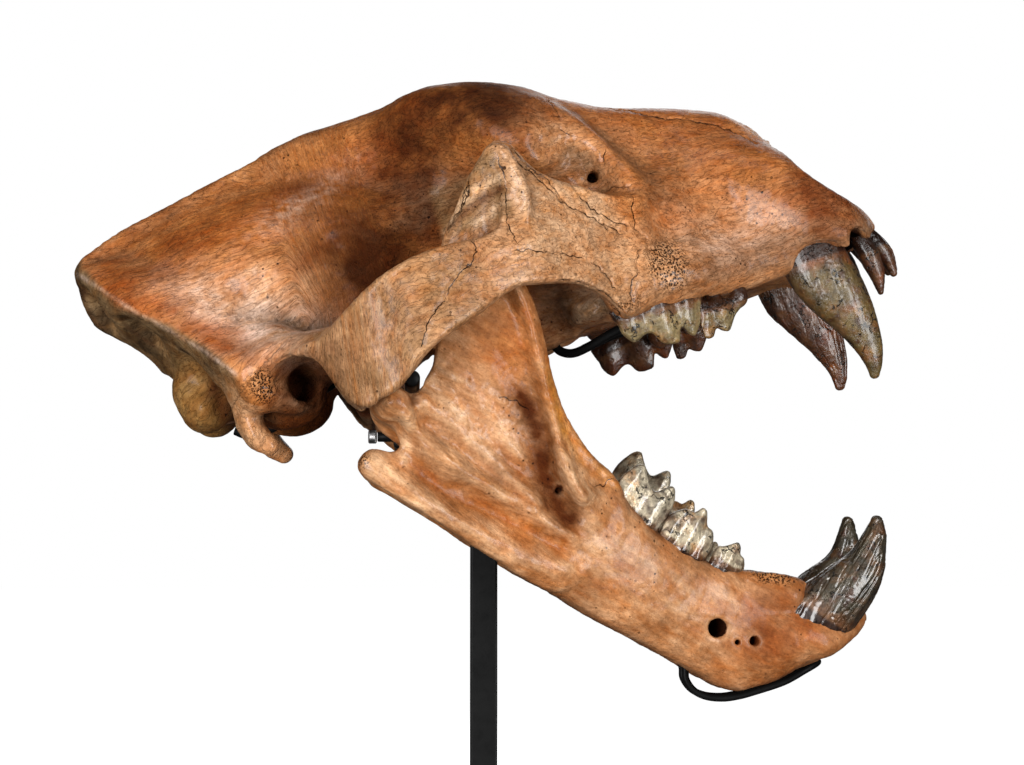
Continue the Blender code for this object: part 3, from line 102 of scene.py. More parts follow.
class Run:
    """A smooth curve through stations (place, value), level past its ends, with no overshoot."""
    def __init__(self, *stations):
        self.at = np.array([s[0] for s in stations], float)
        self.value = np.array([s[1] for s in stations], float)
        gap = np.diff(self.at)
        rise = np.diff(self.value) / gap
        slope = np.zeros(len(self.at))
        same_way = rise[1:] * rise[:-1] > 0
        w1, w2 = 2 * gap[1:] + gap[:-1], gap[1:] + 2 * gap[:-1]
        safe = np.where(same_way, rise[:-1], 1.0), np.where(same_way, rise[1:], 1.0)
        slope[1:-1] = np.where(same_way, (w1 + w2) / (w1 / safe[0] + w2 / safe[1]), 0.0)
        slope[0], slope[-1] = rise[0], rise[-1]
        self.slope = slope

    def __call__(self, x):
        x = np.clip(x, self.at[0], self.at[-1])
        i = np.clip(np.searchsorted(self.at, x) - 1, 0, len(self.at) - 2)
        gap = self.at[i + 1] - self.at[i]
        t = (x - self.at[i]) / gap
        a, b = self.value[i], self.value[i + 1]
        ma, mb = self.slope[i] * gap, self.slope[i + 1] * gap
        return (((2 * t - 3) * t * t + 1) * a + ((t - 2) * t + 1) * t * ma + (3 - 2 * t) * t * t * b
                + (t - 1) * t * t * mb)


def spline(points, steps, closed=False):
    """Catmull-Rom through rows of numbers."""
    p = np.array(points, float)
    p = np.vstack([p[-1:], p, p[:2]] if closed else [2 * p[0] - p[1], p, 2 * p[-1] - p[-2]])
    out = []
    for a, b, c, d in zip(p, p[1:], p[2:], p[3:]):
        for t in np.arange(steps) / steps:
            out.append(0.5 * (2 * b + (c - a) * t + (2 * a - 5 * b + 4 * c - d) * t * t
                              + (3 * b - a - 3 * c + d) * t ** 3))
    if not closed:
        out.append(p[-2])
    return np.array(out)


class Clay:
    """Points in space with the distance, in mm, from each to the form built so far: under 0 is inside."""
    def __init__(self, points):
        self.p = points
        self.d = np.full(len(points), FAR, np.float32)

    def add(self, form, k=6.0, reach=12.0, sign=1):
        """Join a form to the body with a blend k mm wide. With sign -1 it is cut away."""
        distance, low, high = form
        low, high = (np.array(v, np.float32) + s * (reach + 1.2 * k) for v, s in ((low, -1), (high, 1)))
        i = np.nonzero(((self.p > low) & (self.p < high)).all(1))[0]
        if len(i):
            self.d[i] = sign * soft_min(sign * self.d[i], distance(*self.p[i].T), k)

    def cut(self, form, k=3.0):
        self.add(form, k, sign=-1)


def distances(shape, points):
    """The form's distances at these points, in slabs shared among the cores."""
    def slab(part):
        clay = Clay(part)
        shape(clay)
        return clay.d
    parts = np.array_split(points, max(1, len(points) // SLAB))
    with ThreadPoolExecutor(CORES) as pool:
        return np.concatenate(list(pool.map(slab, parts)))


def ball(centre, radii, turn=(0, 0, 0)):
    """An ellipsoid, turned by degrees about x, y and z."""
    c, r = np.array(centre, float), np.array(radii, float) * np.ones(3)
    m = np.array(Euler(np.radians(turn)).to_matrix())
    def distance(x, y, z):
        q = np.stack([x - c[0], y - c[1], z - c[2]], 1) @ m
        a = np.sqrt(((q / r) ** 2).sum(1)) + 1e-9
        b = np.sqrt(((q / r ** 2) ** 2).sum(1)) + 1e-9
        return a * (a - 1) / b
    return distance, c - r.max(), c + r.max()


def boxed(distance, s):
    """A form with the box round its stations."""
    r = s[:, 3:].max()
    return distance, s[:, :3].min(0) - r, s[:, :3].max(0) + r


def rod(points, steps=5):
    """A round bar through (x, y, z, radius) stations."""
    s = spline(points, steps)
    def distance(x, y, z):
        best = np.full(len(x), FAR)
        for a, b in zip(s[:-1], s[1:]):
            ab = b[:3] - a[:3]
            t = np.clip(((x - a[0]) * ab[0] + (y - a[1]) * ab[1] + (z - a[2]) * ab[2]) / (ab @ ab), 0, 1)
            dx, dy, dz = x - a[0] - t * ab[0], y - a[1] - t * ab[1], z - a[2] - t * ab[2]
            best = np.minimum(best, np.sqrt(dx * dx + dy * dy + dz * dz) - (a[3] + t * (b[3] - a[3])))
        return best
    return boxed(distance, s)


def strap(points, up=(0, 0, 1), power=2.4):
    """A band through (x, y, z, half depth, half thickness) stations: deep along up, thin across it."""
    s = spline(points, STRAP_STEPS)
    up = np.array(up, float)
    up /= np.linalg.norm(up)
    def distance(x, y, z):
        near = np.full(len(x), FAR ** 2)
        best = np.full(len(x), FAR)
        for a, b in zip(s[:-1], s[1:]):
            ab = b[:3] - a[:3]
            length = np.linalg.norm(ab)
            along = ab / length
            u = up - along * (up @ along)
            u /= np.linalg.norm(u)
            n = np.cross(along, u)
            qx, qy, qz = x - a[0], y - a[1], z - a[2]
            raw = (qx * along[0] + qy * along[1] + qz * along[2]) / length
            t = np.clip(raw, 0, 1)
            over = (raw - t) * length
            qx, qy, qz = qx - t * ab[0], qy - t * ab[1], qz - t * ab[2]
            v = qx * u[0] + qy * u[1] + qz * u[2]
            w = qx * n[0] + qy * n[1] + qz * n[2]
            deep, thin = a[3] + t * (b[3] - a[3]), a[4] + t * (b[4] - a[4])
            sides = ((np.abs(v) / deep) ** power + (np.abs(w) / thin) ** power
                     + (np.abs(over) / thin) ** power) ** (1 / power)
            d = (sides - 1) * thin
            gap = qx * qx + qy * qy + qz * qz
            closer = gap < near
            near = np.where(closer, gap, near)
            best = np.where(closer, d, best)
        return best
    return boxed(distance, s)


def loft(x0, x1, half_width, top, bottom, power=2.4, lean=None, end=10.0):
    """A body along x: its half width, top and bottom are Runs of x. lean narrows it towards its top."""
    def distance(x, y, z):
        w, hi, lo = half_width(x), top(x), bottom(x)
        c, h = (hi + lo) / 2, np.maximum((hi - lo) / 2, 1)
        v = (z - c) / h
        if lean is not None:
            w = w * (1 - lean(x) * np.clip(v, -1, 1))
        s = (np.abs(y / w) ** power + np.abs(v) ** power) ** (1 / power)
        d = (s - 1) * np.minimum(w, h)
        return soft_max(soft_max(d, x - x1, end), x0 - x, end)
    xs = np.linspace(x0, x1, 60)
    w = half_width(xs).max() * 1.4
    return distance, (x0, -w, bottom(xs).min()), (x1, w, top(xs).max())


def gap_squared(x, z, a, b):
    """Squared distance in the side view to the straight line from a to b."""
    ex, ez = b[0] - a[0], b[1] - a[1]
    t = np.clip(((x - a[0]) * ex + (z - a[1]) * ez) / (ex * ex + ez * ez), 0, 1)
    return (x - a[0] - t * ex) ** 2 + (z - a[1] - t * ez) ** 2


def line_distance(x, z, route):
    """Distance in the side view to an open line through stations."""
    best = np.full(len(x), FAR ** 2)
    for a, b in zip(route[:-1], route[1:]):
        best = np.minimum(best, gap_squared(x, z, a, b))
    return np.sqrt(best)


def outline_distance(outline, x, z):
    """Signed distance in the side view to a closed outline: under 0 inside."""
    inside = np.zeros(len(x), bool)
    outline = np.vstack([outline, outline[:1]])
    for a, b in zip(outline[:-1], outline[1:]):
        if a[1] != b[1]:
            inside ^= ((a[1] > z) != (b[1] > z)) & (x < a[0] + (z - a[1]) * (b[0] - a[0]) / (b[1] - a[1]))
    return np.where(inside, -1, 1) * line_distance(x, z, outline)


def grid(*axes):
    return np.stack(np.meshgrid(*axes, indexing="ij"), -1).reshape(-1, 3)


def sample(shape, low, high, step, mirror):
    """Distances on a lattice, worked out only in blocks that the surface passes near."""
    low, high = np.array(low, float), np.array(high, float)
    if mirror:
        low[1] = 0.0
    n = np.ceil((high - low) / step).astype(int)
    nb = np.ceil(n / BLOCK).astype(int)
    n = nb * BLOCK + 1
    centres = [low[i] + (np.arange(nb[i]) + 0.5) * BLOCK * step for i in range(3)]
    coarse = distances(shape, grid(*centres).astype(np.float32))
    # a block's centre to its corner, times the steepest slope of any form, and a margin
    reach = BLOCK * step * HALF_DIAGONAL * STEEPNESS + MARGIN
    lattice = coarse.reshape(nb)
    for axis in range(3):
        lattice = np.repeat(lattice, BLOCK, axis)
    lattice = np.pad(lattice, ((0, 1), (0, 1), (0, 1)), mode="edge").astype(np.float32)
    corner = np.stack(np.unravel_index(np.nonzero(np.abs(coarse) < reach)[0], nb), 1)
    inner = grid(*[np.arange(BLOCK + 1)] * 3)
    index = (corner[:, None, :] * BLOCK + inner[None]).reshape(-1, 3)
    flat = np.unique(np.ravel_multi_index(index.T, n))
    ijk = np.stack(np.unravel_index(flat, n), 1)
    lattice.reshape(-1)[flat] = distances(shape, (low + ijk * step).astype(np.float32))
    if mirror:
        lattice = np.concatenate([lattice[:, :0:-1, :], lattice], 1)
        low[1] = -(n[1] - 1) * step
    return lattice, low


CORNERS = np.array([[c & 1, (c >> 1) & 1, c >> 2] for c in range(8)])


def skin(lattice, low, step):
    """Surface nets: one point in each cell the surface crosses."""
    rim = np.ones(lattice.shape, bool)
    rim[1:-1, 1:-1, 1:-1] = False
    lattice = np.where(rim, np.abs(lattice) + 0.1, lattice)
    inside = lattice < 0
    size = np.array(lattice.shape) - 1
    count = np.zeros(size, np.uint8)
    for i, j, k in CORNERS:
        count += inside[i:size[0] + i, j:size[1] + j, k:size[2] + k]
    cells = np.nonzero((count > 0) & (count < 8))
    m = len(cells[0])
    number = np.full(size, -1, np.int32)
    number[cells] = np.arange(m)
    value = np.stack([lattice[cells[0] + o[0], cells[1] + o[1], cells[2] + o[2]] for o in CORNERS], 1)
    total, hits = np.zeros((m, 3)), np.zeros(m)
    for a in range(8):
        for bit in (1, 2, 4):
            if not a & bit:
                va, vb = value[:, a], value[:, a | bit]
                cross = (va < 0) != (vb < 0)
                t = np.where(cross, va / np.where(cross, va - vb, 1), 0)
                total += (CORNERS[a] + t[:, None] * (CORNERS[a | bit] - CORNERS[a])) * cross[:, None]
                hits += cross
    points = (np.stack(cells, 1) + total / hits[:, None]) * step + low
    quads = []
    for axis in range(3):
        before = np.take(inside, range(lattice.shape[axis] - 1), axis)
        after = np.take(inside, range(1, lattice.shape[axis]), axis)
        edge = np.stack(np.nonzero(before != after), 1)
        u, v = (axis + 1) % 3, (axis + 2) % 3
        du, dv = np.eye(3, dtype=int)[u], np.eye(3, dtype=int)[v]
        quad = np.stack([number[tuple((edge - s * du - t * dv).T)]
                         for s, t in ((0, 0), (1, 0), (1, 1), (0, 1))], 1)
        flip = ~inside[tuple(edge.T)]
        quad[flip] = quad[flip][:, ::-1]
        quads.append(quad)
    return points, np.concatenate(quads)


def largest(points, quads):
    """Only the biggest connected surface."""
    label = np.arange(len(points))
    while True:
        low = label[quads].min(1)
        new = label.copy()
        for c in range(4):
            np.minimum.at(new, quads[:, c], low)
        new = new[new]
        if (new == label).all():
            break
        label = new
    kind, size = np.unique(label[quads[:, 0]], return_counts=True)
    keep = label == kind[size.argmax()]
    place = np.cumsum(keep) - 1
    return points[keep], place[quads[keep[quads[:, 0]]]]


def spread(quads, values, count):
    """The sum over each point's neighbours along the edges, and how many there are."""
    a = np.concatenate([quads[:, c] for c in range(4)])
    b = np.concatenate([quads[:, (c + 1) % 4] for c in range(4)])
    a, b = np.concatenate([a, b]), np.concatenate([b, a])
    total = np.stack([np.bincount(a, values[b, i], count) for i in range(3)], 1)
    return total, np.bincount(a, minlength=count)


def relaxed(points, quads, rounds=2):
    """Smoothed without shrinking: each round pulls in, then pushes out a little more."""
    for _ in range(rounds):
        for weight in (PULL, -PUSH):
            total, number = spread(quads, points, len(points))
            points = points + weight * (total / number[:, None] - points)
    return points


def normals(points, quads):
    a, b, c, d = (points[quads[:, i]] for i in range(4))
    cross = np.cross(c - a, d - b)
    n = np.zeros_like(points)
    for i in range(3):
        for corner in range(4):
            n[:, i] += np.bincount(quads[:, corner], cross[:, i], len(points))
    return n / (np.linalg.norm(n, axis=1)[:, None] + 1e-12)


def looked_up(lattice, low, step, points):
    """The lattice's value at any points."""
    q = (points - low) / step
    q = np.clip(q, 0, np.array(lattice.shape) - 1.001)
    i = q.astype(int)
    f = q - i
    result = 0
    for o in CORNERS:
        w = np.where(o, f, 1 - f).prod(1)
        result = result + w * lattice[i[:, 0] + o[0], i[:, 1] + o[1], i[:, 2] + o[2]]
    return result


TABLE = np.random.RandomState(7).permutation(256)
TABLE = np.concatenate([TABLE, TABLE, TABLE])
DIRECTIONS = np.random.RandomState(8).normal(size=(256, 3))
DIRECTIONS /= np.linalg.norm(DIRECTIONS, axis=1)[:, None]


def noise(points, size, seed=0):
    """Gradient noise, about -1 to 1, with lumps of this size."""
    q = points / size + seed * 7.31
    i = np.floor(q).astype(int)
    f = q - i
    w = f * f * f * (f * (f * 6 - 15) + 10)
    result = 0
    for o in CORNERS:
        result = result + np.where(o, w, 1 - w).prod(1) * ((f - o) * DIRECTIONS[hashed(i + o)]).sum(1)
    return result * 1.6


def hashed(i):
    return TABLE[TABLE[TABLE[i[:, 0] & 255] + (i[:, 1] & 255)] + (i[:, 2] & 255)]


def rough(points, size, octaves=3, seed=0):
    return (sum(noise(points, size / 2 ** k, seed + k) / 2 ** k for k in range(octaves))
            / (2 - 2 ** (1 - octaves)))


def cells(points, size, seed=0):
    """Distance to the nearest of scattered points, one in each box of this size, in boxes."""
    q = points / size + seed * 3.7
    base = np.floor(q).astype(int)
    best = np.full(len(points), 9.0)
    for offset in grid(*[(-1, 0, 1)] * 3):
        c = base + offset
        best = np.minimum(best, ((q - c - 0.5 - 0.45 * DIRECTIONS[hashed(c)]) ** 2).sum(1))
    return np.sqrt(best)


# ---------------------------------------------------------------- cranium
ROOF = Run((-136, 117), (-125, 123.5), (-106, 130), (-88, 133.5), (-70, 137), (-52, 141), (-34, 144.5),
           (-16, 148), (2, 150), (19, 150), (36, 150.7), (45, 152.4), (55, 154.5), (63, 155), (72, 154),
           (80, 152.7), (88, 150.8), (96, 148), (104, 144.7), (111, 140.8), (118, 136), (125, 131.2),
           (133, 126.8), (140, 123), (148, 119.6), (156, 116.8), (164, 114.3), (172, 112), (180, 109.6),
           (187, 106.9), (195, 104), (203, 100.5), (210, 95.2), (217, 88.5), (223, 80.5), (227, 67),
           (233, 57), (239, 50), (246, 44), (253, 38), (259, 29), (265, 18))
OCCIPUT = Run((10, -96), (30, -98), (45, -104), (59, -110), (70, -118), (78, -126), (86, -133),
              (100, -135.5), (112, -135.5), (122, -131))


def crest(x, y, z):
    """The sagittal crest: a tent under the roof line, thin at its top."""
    drop = ROOF(x) - z
    depth = np.maximum(drop, 0)
    half = 2.6 + 0.10 * depth + 0.0030 * depth ** 2 + 10 * smooth_step((x - 5) / 50)
    side = (np.abs(y) - half) * 0.8
    ends = soft_max(drop - 52, np.maximum(x - 52, -138 - x), 6)
    return soft_max(soft_max(side, -drop * 0.95, 4), ends, 4)


def plate(outline, middle, thick, round_off=4.0):
    """A curved sheet of bone: its outline from the side, its middle and half thickness across."""
    pts = spline(outline, 4, closed=True)
    def distance(x, y, z):
        edge = outline_distance(pts, x, z)
        mid, slope = middle(x, z), (middle(x + 1, z) - middle(x - 1, z)) / 2
        across = np.abs(y - mid) / np.sqrt(1 + slope ** 2) - thick(x, z)
        return soft_max(edge, across, round_off)
    yy = [middle(np.array([a]), np.array([b]))[0] for a, b in pts]
    low = pts[:, 0].min(), min(yy) - 14, pts[:, 1].min()
    high = pts[:, 0].max(), max(yy) + 14, pts[:, 1].max()
    return distance, low, high


ARCH_MID = Run((-60, 74), (-45, 84), (-34, 92), (-24, 101), (-9, 116), (9, 125), (27, 126.5), (46, 122),
               (60, 116), (80, 109), (92, 102), (104, 93), (117, 80.5), (128, 70), (143, 57), (160, 45))


def arch_mid(x, z):
    """How far out the cheek arch stands: its upper edge leans in under the temple."""
    lean = smooth_step((x - 55) / 15) * smooth_step((135 - x) / 30)
    return ARCH_MID(x) - 0.25 * np.maximum(z - 52, 0) * lean


def arch_thick(x, z):
    rear, front = smooth_step((20 - x) / 40), smooth_step((x - 105) / 25)
    return 4.6 + 1.6 * rear + 2.5 * front + 0.5 * smooth_step((40 - z) / 20)


ARCH = [(-46, 33), (-34, 36.5), (-23, 37), (-9, 44), (9, 53), (27, 58), (46, 59.5), (60, 59), (70, 62),
        (75.5, 74), (78, 86), (76, 93), (77, 100), (84, 103.5), (94, 95.5), (105, 83.5), (116, 74),
        (127, 67), (138, 62), (147, 52), (150, 38), (139, 18), (127, 8), (119, 6.5), (115, 13),
        (110, 19.5), (104, 24.5), (97, 28), (83, 31), (69, 32), (45, 23), (25, 16), (6, 3), (-5, 0),
        (-11, -2), (-18, 3), (-23, 14), (-28, 26), (-36, 30)]
# the flat face behind the temple's corner, over the cheek arch
TEMPLE_FACE = [(40, 52), (45, 66), (55, 78), (61, 86), (67, 92.5), (77, 100), (86, 98), (90, 72),
               (80, 54), (60, 52)]


def temple_mid(x, z):
    return 91 + 0.42 * (x - 46) + 0.06 * (75 - z)


def temple_thick(x, z):
    return 3.4


def cranium(c):
    # braincase and its crest
    c.add(ball((-36, 0, 78), (88, 53, 47)), 1)
    c.add(loft(-112, 62, Run((-112, 34), (-80, 41), (-40, 42), (0, 38), (30, 33), (62, 34)),
               Run((-112, 84), (-60, 96), (0, 100), (62, 110)),
               Run((-112, 40), (-80, 26), (-40, 29), (0, 31), (62, 28)), 2.6), 14)
    c.add((crest, (-138, -60, 60), (60, 60, 160)), 22, 30)
    # slope from the braincase out to the nuchal crest
    c.add(rod([(-119, 14, 102, 9), (-108, 29, 90, 12), (-94, 38, 76, 15), (-80, 44, 60, 17),
               (-66, 50, 46, 16), (-48, 58, 42, 12)], 4), 14)
    # squamosal shelf over the ear
    c.add(rod([(-76, 60, 42, 8), (-62, 70, 33, 6.5), (-48, 79, 34, 5), (-36, 85, 35, 5),
               (-26, 90, 34, 6.5), (-10, 92, 32, 11)], 4), 14)
    c.add(ball((-38, 54, 32), (46, 30, 12), (12, 0, 0)), 12)
    # nuchal crest
    c.add(rod([(-131, 3, 114, 4), (-124, 25, 101.5, 3.4), (-110, 41, 84, 3.2), (-94, 52, 67, 3.2),
               (-78, 62, 49, 3.6), (-65, 74, 31, 4)], 4), 9)
    # forehead
    c.add(loft(-30, 225, Run((-30, 6), (0, 14), (25, 23), (45, 33), (60, 40), (80, 46), (97, 48),
                             (125, 44), (145, 38), (170, 31), (200, 27), (225, 22)), ROOF,
               Run((-30, 110), (0, 105), (40, 92), (100, 80), (150, 62), (225, 50)), 2.5, None, 20), 10)
    # swelling at the temple, and the brow over the orbit
    c.add(rod([(62, 26, 134, 15), (80, 40, 124, 15), (94, 48, 112, 14), (103, 51, 101, 11)], 4), 16)
    c.add(rod([(108, 43, 117, 7.5), (120, 45, 109, 6.5), (131, 48.5, 97, 5), (138, 52.5, 84, 4.5),
               (144, 58, 70, 5)], 4), 10)
    # walls inside the orbit and below it
    c.add(loft(40, 160, Run((40, 30), (62, 32), (88, 41), (112, 48), (135, 55), (160, 52)),
               Run((40, 112), (100, 108), (140, 88), (160, 72)),
               Run((40, 28), (80, 22), (110, 18), (160, 20)), 3.0), 10)
    # muzzle
    c.add(loft(118, 263, Run((118, 64), (140, 66), (158, 61.5), (176, 54), (192, 49), (208, 49),
                             (222, 51), (238, 48), (250, 39), (263, 24)),
               Run((118, 64), (140, 72), (165, 78), (190, 78), (210, 73), (225, 62), (240, 44),
                   (255, 32), (263, 24)),
               Run((118, 6), (140, 6), (180, 5), (205, 8), (240, 10), (263, 11)), 3.4,
               Run((118, 0.1), (150, 0.17), (200, 0.19), (263, 0.1))), 12)
    c.add(loft(140, 232, Run((140, 42), (170, 40), (200, 38), (232, 32)),
               Run((140, 100), (170, 97), (200, 88), (215, 78), (232, 60)), Run((140, 40), (232, 20)),
               2.6), 16)
    # canine root swelling
    c.add(rod([(231, 41, 18, 16.5), (223, 41, 34, 16.5), (210, 38, 50, 14), (194, 34, 64, 11)], 4), 16)
    # cheek over the carnassial
    c.add(rod([(124, 70.5, 17, 7.5), (130, 69, 18, 9.5), (142, 65, 18.5, 10.5), (160, 58.5, 17.5, 10),
               (182, 50, 15.5, 9.5), (197, 46.5, 15, 9), (207, 45, 17, 9)], 4), 12)
    # front of the mouth
    c.add(rod([(236, 32, 23, 9), (247, 25, 23, 8.5), (255, 14, 23, 8), (258, 0, 23, 7.5)], 4), 6)
    # arch
    c.add(plate(ARCH, arch_mid, arch_thick, 2.8), 6, 14)
    c.add(plate(TEMPLE_FACE, temple_mid, temple_thick), 3, 14)
    c.add(rod([(125, 70, 26, 10), (130, 65, 38, 12.5), (137, 58, 50, 13)], 4), 12)
    # joint bar
    c.add(rod([(-2, 40, 21, 10), (0, 70, 20, 10.5), (2, 100, 19, 10), (2, 116, 22, 8)], 3), 10)
    c.add(rod([(-14, 50, 16, 6), (-13, 72, 13, 6.5), (-11, 90, 8, 6.5), (-9, 102, 5, 6)], 3), 7)
    # base of the skull
    c.add(loft(-104, 40, Run((-104, 30), (-80, 30), (-60, 22), (-20, 17), (40, 20)),
               Run((-104, 50), (40, 50)),
               Run((-104, 22), (-80, 18), (-62, 17), (-45, 22), (-32, 27), (-18, 28), (40, 27)), 3), 8)
    c.add(ball((-48, 41, 18.5), (20, 15, 15), (0, 0, 20)), 5)
    c.add(rod([(-46, 52, 20, 9), (-44, 64, 18, 10)], 1), 6)
    # mastoid and paroccipital
    c.add(rod([(-76, 58, 42, 9), (-68, 66, 31, 9), (-59, 69, 22, 8.5)], 3), 10)
    c.add(rod([(-76, 52, 30, 9), (-72, 58, 18, 8.5), (-68, 61, 6, 7), (-62.5, 62, -2, 5)], 4), 7)
    back_of_skull(c)
    # occipital condyles
    c.add(ball((-89, 25, 27), (12.5, 14.5, 12.5), (0, 0, -25)), 5)
    c.add(ball((-93, 23, 39), (9.5, 12, 14), (0, 20, -25)), 3)
    # pterygoids
    c.add(strap([(32, 17, 30, 8, 4), (46, 18, 25, 13, 3.5), (70, 19, 22, 17, 3.5), (98, 22, 20, 14, 5)],
                (0, 0, 1)), 6)
    c.add(rod([(44, 18, 14, 4), (40, 18, 5, 3.5), (37, 19, -2, 2.6)], 3), 4)
    # palate
    c.add(loft(92, 236, Run((92, 30), (110, 48), (150, 52), (236, 38)), Run((92, 24), (236, 24)),
               Run((92, 12), (120, 9), (236, 9)), 4), 6)

    # ------------------------------------------------ hollows
    spread = np.sqrt(c.p[:, 1] ** 2 + 25) - 5
    c.d = soft_max(c.d, (c.p[:, 2] - ROOF(c.p[:, 0]) + 0.21 * spread) * 0.9, 4)
    # back of the skull
    c.cut(ball((-131, 15, 88), (11, 11, 16), (0, -20, 24)), 4)
    c.cut(ball((-110, 36, 68), (8, 14, 14), (0, -25, 24)), 5)
    c.cut(ball((-92, 47, 42), (10, 13, 14), (0, -30, 24)), 5)
    # hollow between the paroccipital and the condyle
    c.cut(ball((-80, 46, 22), (8, 12, 12)), 5)
    # foramen magnum
    c.cut(rod([(-130, 0, 36, 14), (-80, 0, 38, 14)], 1), 3)
    # recess under the shelf, and the ear opening in it
    c.cut(ball((-38, 90, 21), (15, 19, 12), (0, 20, 0)), 4)
    c.cut(rod([(-35, 96, 19.5, 10), (-35, 74, 20.5, 9.5), (-38, 58, 21, 8.5), (-40, 48, 21, 6)], 3), 3)
    # dent behind the temple
    c.cut(ball((4, 54, 80), (13, 11, 9), (0, 30, 0)), 8)
    # joint hollow
    c.cut(rod([(0, 30, -1, 12), (0, 108, -1, 12)], 1), 3)
    # orbit
    c.cut(ball((115, 82, 92), (25, 27, 15), (0, 30, 26)), 5)
    # choana
    c.cut(rod([(16, 0, 8, 8), (40, 0, 12, 13), (75, 0, 15, 15), (97, 0, 15, 15)], 4), 3)
    # palate vault
    c.cut(loft(86, 238, Run((86, 30), (115, 45), (150, 43), (190, 34), (238, 26)),
               Run((86, 9), (150, 13), (238, 13)), Run((86, -40), (238, -40)), 2.2), 4)
    # under the incisors, and outside the canine's root
    c.cut(rod([(236, 46, 0, 13), (247, 34, 2, 12.5), (258, 18, 3, 12), (264, 0, 3, 12)], 4), 3)
    c.cut(ball((222, 58, 3), (16, 12, 13.5)), 2)
    c.cut(rod([(160.5, 62, 2, 3.4), (161, 56, 5.5, 3)], 1), 1.5)
    c.cut(rod([(172.5, 60, -1, 3.6), (172.5, 54, 1, 3)], 1), 1.5)
    c.cut(ball((243.5, 46, 9.5), (5.8, 24, 8.8)), 1.5)
    # nose
    c.cut(loft(176, 290, Run((176, 16), (200, 23), (222, 27), (290, 27)),
               Run((176, 80), (205, 88), (214, 85), (222, 76), (290, 76)),
               Run((176, 36), (230, 33), (290, 31)), 2.6), 3)
    c.cut(rod([(262, 0, 34, 7), (248, 0, 38, 7)], 1), 3)
    # shallow dimple behind the canine's root
    c.cut(ball((161, 74, 50), (13, 12, 11)), 8)
    # lacrimal
    c.cut(rod([(126, 74, 79.5, 3.3), (128, 36, 79.5, 3.0)], 1), 0.8)


def back_of_skull(c):
    """Only bone ahead of the back of the skull stays."""
    i = np.nonzero(c.p[:, 0] < -50)[0]
    x, y, z = c.p[i].T
    wrap = 0.42 * (np.sqrt(y * y + 64) - 8)
    c.d[i] = soft_max(c.d[i], (OCCIPUT(z) + wrap - x) * 0.85, 3)


# ---------------------------------------------------------------- mandible, one half, on the +y side
JAW_MID = Run((-5, 85), (25, 84), (45, 80.5), (60, 76.5), (92, 69), (118, 61))


def jaw_mid(x, z):
    return JAW_MID(x) + 0.05 * np.maximum(z - 20, 0)


def jaw_thick(x, z):
    return 3.4 + 3.5 * smooth_step((-16 - z) / 18)


JAW = [(13, 8), (8.5, 15), (8, 24), (5, 32), (1, 44), (-3, 60), (-4, 72), (0, 84), (8, 90), (17, 87),
       (27, 78), (38, 69.5), (46.5, 62), (55.5, 52.5), (69.5, 41), (82.5, 34), (96, 28), (109, 25.5),
       (118, 17), (124, 0), (118, -20), (108, -37), (68, -37.5), (45, -36.5), (22, -36), (10, -37),
       (4, -35), (2.5, -30), (4, -25), (10.5, -21.5), (13, -17), (10, -11), (7, -6), (9, 2)]
# lines over the outer face of the jaw: route, half width, height
JAW_RELIEF = [
    ([(19, 78), (29.5, 72), (38, 65), (47.5, 55), (56, 46), (66.6, 36), (76.5, 25.5), (85.3, 17.5),
      (93, 12), (101, 8)], 4.2, 6.0),
    ([(86, 16), (97, 12), (108, 6)], 8, 2.5),
    ([(43, 43), (52, 34.3), (65.3, 25), (73.7, 16.7), (81.4, 7.4), (91.9, -0.7), (101, -3.3)], 6.5, -4.6),
    ([(12, 26), (19.5, 25.7), (29.6, 21.6), (38.6, 19.4), (52.8, 12.6), (62.9, 8.5)], 4.5, 2.0),
    ([(18, 18), (28, 18), (42, 13.7), (56.2, 7), (72.3, 1.5)], 4.0, -1.8),
    ([(10, 9), (16, 8.3), (34.4, 5.3), (51.7, 1.8), (69.7, -2.6), (84, -6)], 4.5, 2.2),
    ([(20, -1), (40, -3), (60, -5), (80, -9)], 4.0, -1.6),
    ([(12, -4), (25.2, -8.9), (48.8, -10), (67, -10.5), (86, -11), (106, -11)], 4.5, 3.4),
    ([(15, -14), (21, -18.5), (39, -22.5), (61, -21), (83.6, -17), (104, -16)], 5.5, -3.0),
    ([(13, 9), (12, 2), (13, -6), (16, -14), (19, -20)], 4.0, 2.6),
    ([(8, -29), (28, -32.5), (60, -33), (90, -32), (112, -27)], 6.5, 2.6)]


KEEL = Run((0, -44), (20, -39), (60, -38.5), (135, -41), (178, -39), (203, -39.5), (212, -37),
           (219, -34), (228, -24.5), (239, -12), (250, 2), (256, 16), (259.5, 24), (261, 38), (263, 60))


